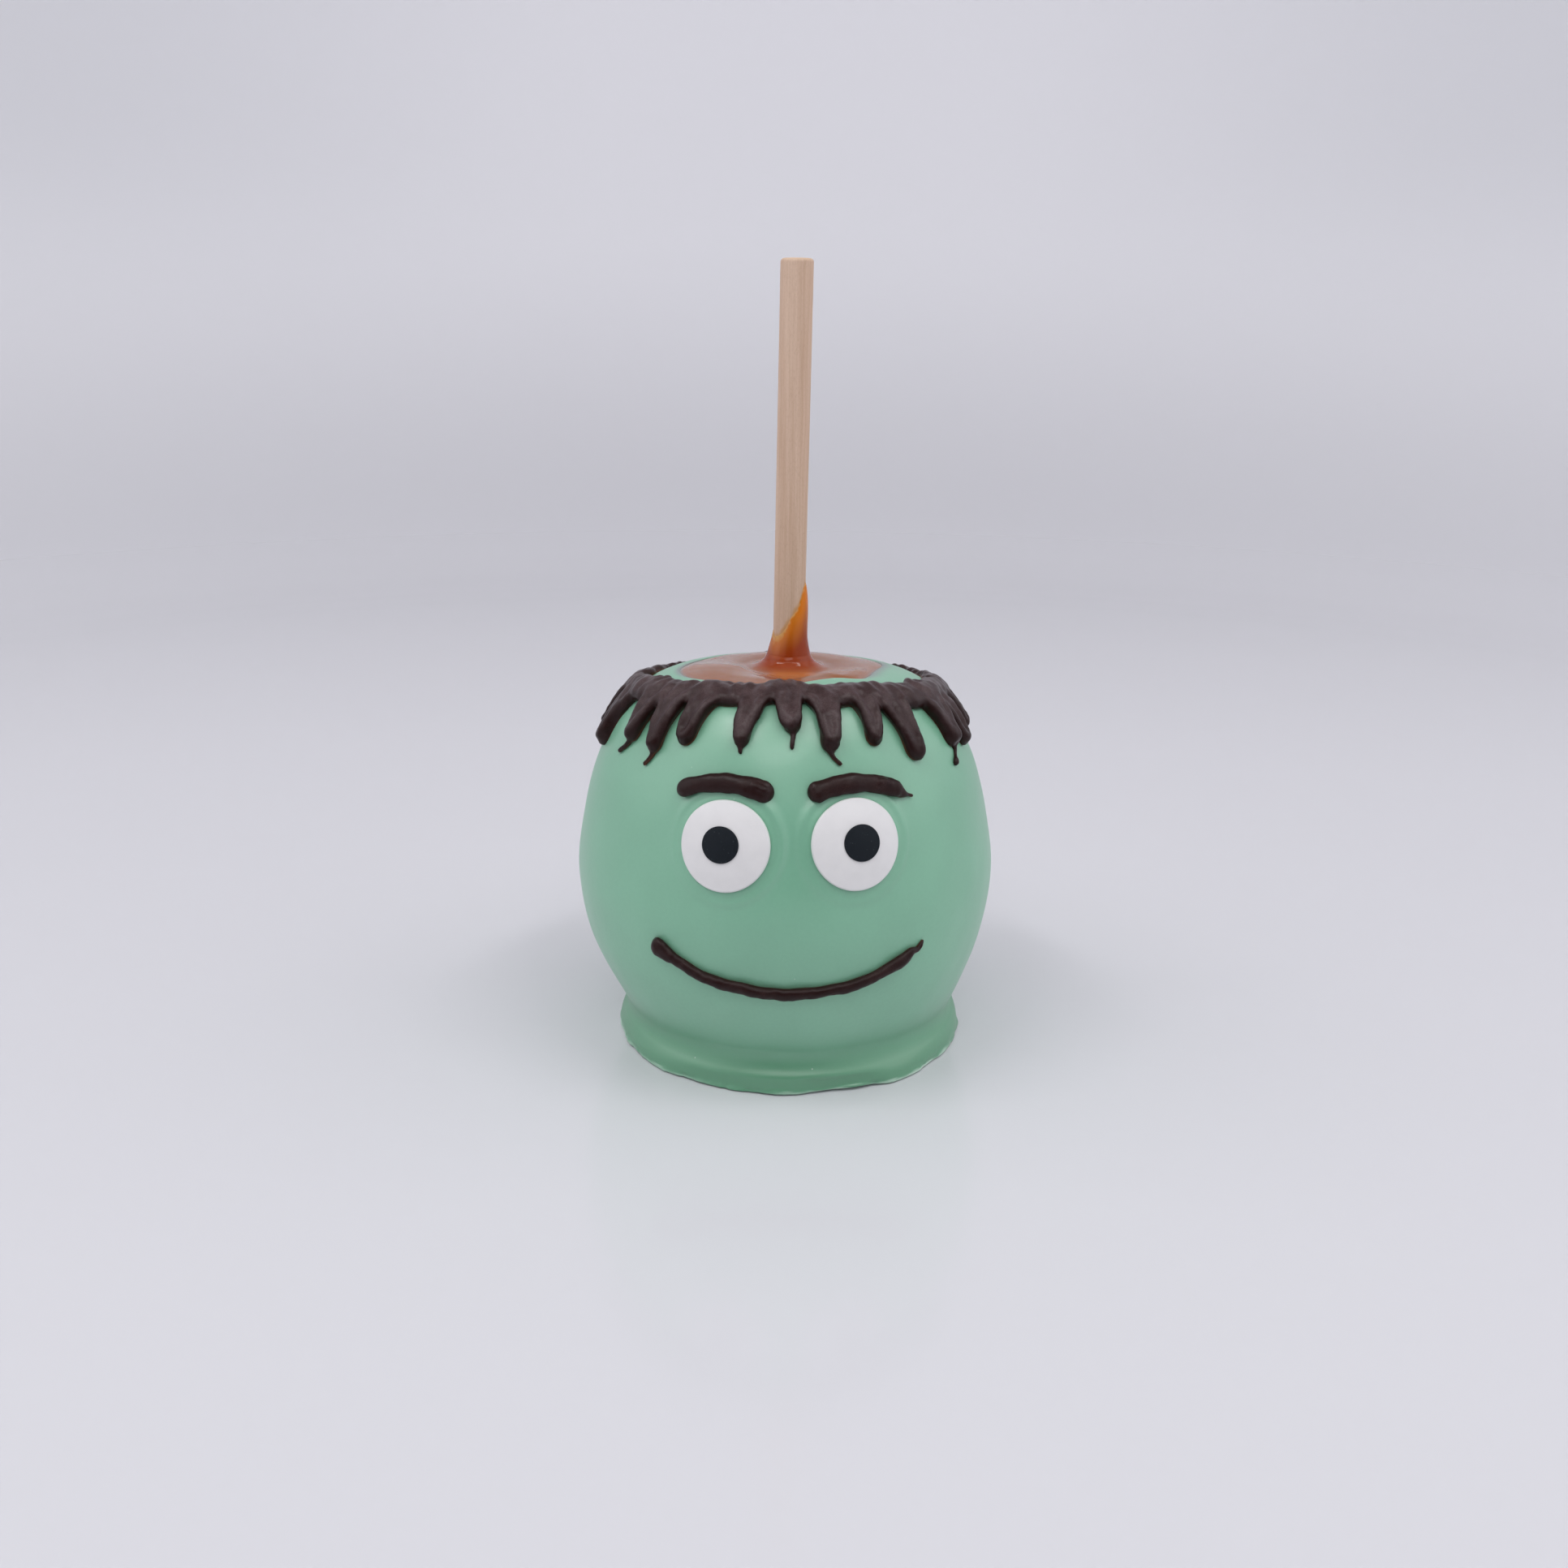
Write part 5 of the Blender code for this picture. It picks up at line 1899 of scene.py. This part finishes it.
@dataclass(frozen=True)
class Softbox:
    """Rectangular soft light that faces the apple."""

    name: str
    place: tuple
    size: tuple
    power: float
    colour: Colour = (1.0, 1.0, 1.0)

    def hang(self) -> None:
        """Put the light into the scene, aimed at the middle of the apple."""
        lamp = bpy.data.lights.new(self.name, "AREA")
        lamp.shape = "RECTANGLE"
        lamp.size, lamp.size_y = self.size
        lamp.energy = self.power
        lamp.color = self.colour
        item = bpy.data.objects.new(self.name, lamp)
        item.location = self.place
        aim = Vector((0.0, 0.0, 0.05)) - Vector(self.place)
        item.rotation_euler = aim.to_track_quat("-Z", "Y").to_euler()
        bpy.context.scene.collection.objects.link(item)


SOFTBOXES = (
    Softbox("softbox_top_left", (-0.38, -0.26, 0.88), (0.50, 0.10), 1.55, (1.0, 0.995, 1.0)),
    Softbox("softbox_top_right", (0.38, -0.26, 0.88), (0.50, 0.10), 1.55, (1.0, 0.995, 1.0)),
    Softbox("softbox_middle", (0.0, -0.60, 0.64), (0.50, 0.10), 0.7),
    Softbox("softbox_left", (-0.80, -0.10, 0.55), (0.9, 0.9), 1.95),
    Softbox("softbox_right", (0.80, -0.05, 0.50), (0.9, 0.9), 1.95),
)


@dataclass
class Studio:
    """Plain pale sweep all round, soft lights above, and the camera."""

    floor_radius: float = 0.55
    sweep_radius: float = 0.45
    wall_height: float = 1.25
    flag_at: float = -0.62
    cloth_middle: tuple = (-0.36, 0.98)
    cloth_half: tuple = (1.3, 0.85)
    cloth_tilt: float = math.radians(21.0)
    air: Colour = (0.93, 0.94, 1.0)
    air_strength: float = 0.27
    floor: Colour = (0.712, 0.708, 0.746)
    wall: Colour = (0.905, 0.900, 0.940)
    # Colour of the painted shade in the wall's upper side corners.
    wall_shade: Colour = (0.790, 0.790, 0.830)
    camera_at: tuple = (-1.75 * MM, -291.2 * MM, 143.5 * MM)
    pitch: float = math.radians(17.35)
    roll: float = math.radians(0.67)
    lens: float = 33.54

    @staticmethod
    def stand(shell: Shell, name: str, nodes: Nodes, seen: bool = True) -> None:
        """Put a mesh of the stage into the scene.

        Args:
            shell: its points and faces.
            name: its name.
            nodes: its material.
            seen: whether the camera sees it. If not, it only lights and reflects.
        """
        mesh = shell.to_mesh(name)
        mesh.materials.append(nodes.material)
        piece = bpy.data.objects.new(name, mesh)
        piece.visible_camera = seen
        bpy.context.scene.collection.objects.link(piece)

    def sweep(self) -> None:
        """Floor that curves up into a wall all round: a profile turned about the Z axis."""
        turn = np.linspace(0.0, 0.5 * math.pi, 24)
        flat = np.linspace(0.02, self.floor_radius, 20)[:-1]
        radius = np.concatenate((flat, self.floor_radius + self.sweep_radius * np.sin(turn),
                                 (self.floor_radius + self.sweep_radius,)))
        height = np.concatenate((np.zeros_like(flat), self.sweep_radius * (1.0 - np.cos(turn)),
                                 (self.wall_height,)))
        azimuth = columns_of(96)[None, :]
        points = np.stack(np.broadcast_arrays(
            radius[:, None] * np.sin(azimuth), radius[:, None] * np.cos(azimuth), height[:, None]), axis=-1)
        count, columns = points.shape[:2]
        quads = grid_quads((count, columns), (False, True))
        ring = np.arange(columns)
        hub = np.stack((np.full(columns, count * columns), (ring + 1) % columns, ring), axis=-1)
        corners = np.concatenate((points.reshape(-1, 3), np.zeros((1, 3))))
        nodes = Nodes("paper")
        up = nodes.coordinate(2)
        # Painted shade: the wall darkens towards its upper corners at the sides.
        corner = nodes.times(nodes.span(nodes.math("ABSOLUTE", nodes.coordinate(0)), 0.12, 0.58),
                             nodes.span(up, 0.08, 0.30))
        wall = nodes.mix(corner, self.wall, self.wall_shade)
        nodes.set(Base_Color=nodes.mix(nodes.span(up, 0.0, 0.22), self.floor, wall),
                  Roughness=nodes.span(up, 0.0, 0.05, 0.16, 0.6))
        self.stand(Shell(corners, quads[:, ::-1], hub[:, ::-1]), "paper_sweep", nodes)

    def flag(self) -> None:
        """Dark card behind the camera, as the dark side of a studio, which only gloss shows."""
        right, up = np.meshgrid(np.linspace(-0.5, 0.5, 5), np.linspace(0.02, 0.30, 5))
        points = np.stack((right, np.full_like(right, self.flag_at), up), axis=-1).reshape(-1, 3)
        nodes = Nodes("black_cloth")
        edge = nodes.span(nodes.math("ABSOLUTE", nodes.coordinate(0)), 0.08, 0.50)
        nodes.set(Base_Color=nodes.mix(edge, (0.02, 0.02, 0.02), (0.75, 0.75, 0.78)), Roughness=0.9)
        self.stand(Shell(points, grid_quads((5, 5)), NO_TRIANGLES), "studio_flag", nodes, seen=False)

    def ceiling(self) -> None:
        """Wide glowing cloth above, brightest in its middle and as dim as the air at its edges."""
        half_width, half_length = self.cloth_half
        middle, height = self.cloth_middle
        across, along = np.meshgrid(np.linspace(-half_width, half_width, 5),
                                    np.linspace(-half_length, half_length, 5))
        slope = along * math.cos(self.cloth_tilt) + middle
        rise = along * math.sin(self.cloth_tilt) + height
        points = np.stack((across, slope, rise), axis=-1).reshape(-1, 3)
        nodes = Nodes("glowing_cloth")
        half_depth = half_length * math.cos(self.cloth_tilt)
        flat = nodes.moved((1.0 / half_width, 1.0 / half_depth, 0.0))
        share = nodes.span(nodes.distance(flat, (0.0, middle / half_depth, 0.0)), 1.0, 0.2)
        nodes.set(Base_Color=(0.0, 0.0, 0.0), Roughness=1.0, Emission_Strength=0.70,
                  Emission_Color=nodes.mix(share, (0.36, 0.36, 0.38), (1.0, 1.0, 1.0)))
        self.stand(Shell(points, grid_quads((5, 5))[:, ::-1], NO_TRIANGLES), "ceiling_cloth", nodes,
                   seen=False)

    def surroundings(self) -> None:
        """Pale air that lights the scene evenly from all sides."""
        world = bpy.data.worlds.new("studio_air")
        world.use_nodes = True
        background = world.node_tree.nodes["Background"]
        background.inputs["Color"].default_value = (*self.air, 1.0)
        background.inputs["Strength"].default_value = self.air_strength
        bpy.context.scene.world = world
        bpy.context.scene.view_settings.view_transform = "Standard"

    def camera(self) -> None:
        """Camera at the photograph's viewing angle."""
        data = bpy.data.cameras.new("camera")
        data.lens = self.lens
        data.sensor_width = 36.0
        data.clip_start = 0.01
        item = bpy.data.objects.new("camera", data)
        turned = Matrix.Rotation(0.5 * math.pi - self.pitch, 4, "X") @ Matrix.Rotation(self.roll, 4, "Z")
        item.rotation_euler = turned.to_euler()
        item.location = self.camera_at
        bpy.context.scene.collection.objects.link(item)
        bpy.context.scene.camera = item

    def build(self) -> None:
        """Set the sweep, the lights, the surroundings and the camera."""
        self.sweep()
        for softbox in SOFTBOXES:
            softbox.hang()
        self.flag()
        self.ceiling()
        self.surroundings()
        self.camera()


def main() -> None:
    """Build every piece in order, then the studio."""
    logging.basicConfig(level=logging.INFO, format="%(name)s %(message)s")
    apple, axis, face = AppleSurface(), StickAxis(), FaceLayout()
    piping = Piping(apple)
    CandyCoat(apple, axis, face).build()
    pool = CaramelPool(apple, axis)
    pool.build()
    WoodenStick(axis, pool.climb).build()
    ChocolateDrips(piping).build()
    for side in Side:
        SugarEye(apple, face, side).build()
        Brow(piping, face, side).build()
    Smile(piping, face).build()
    Studio().build()


if __name__ == "__main__":
    main()
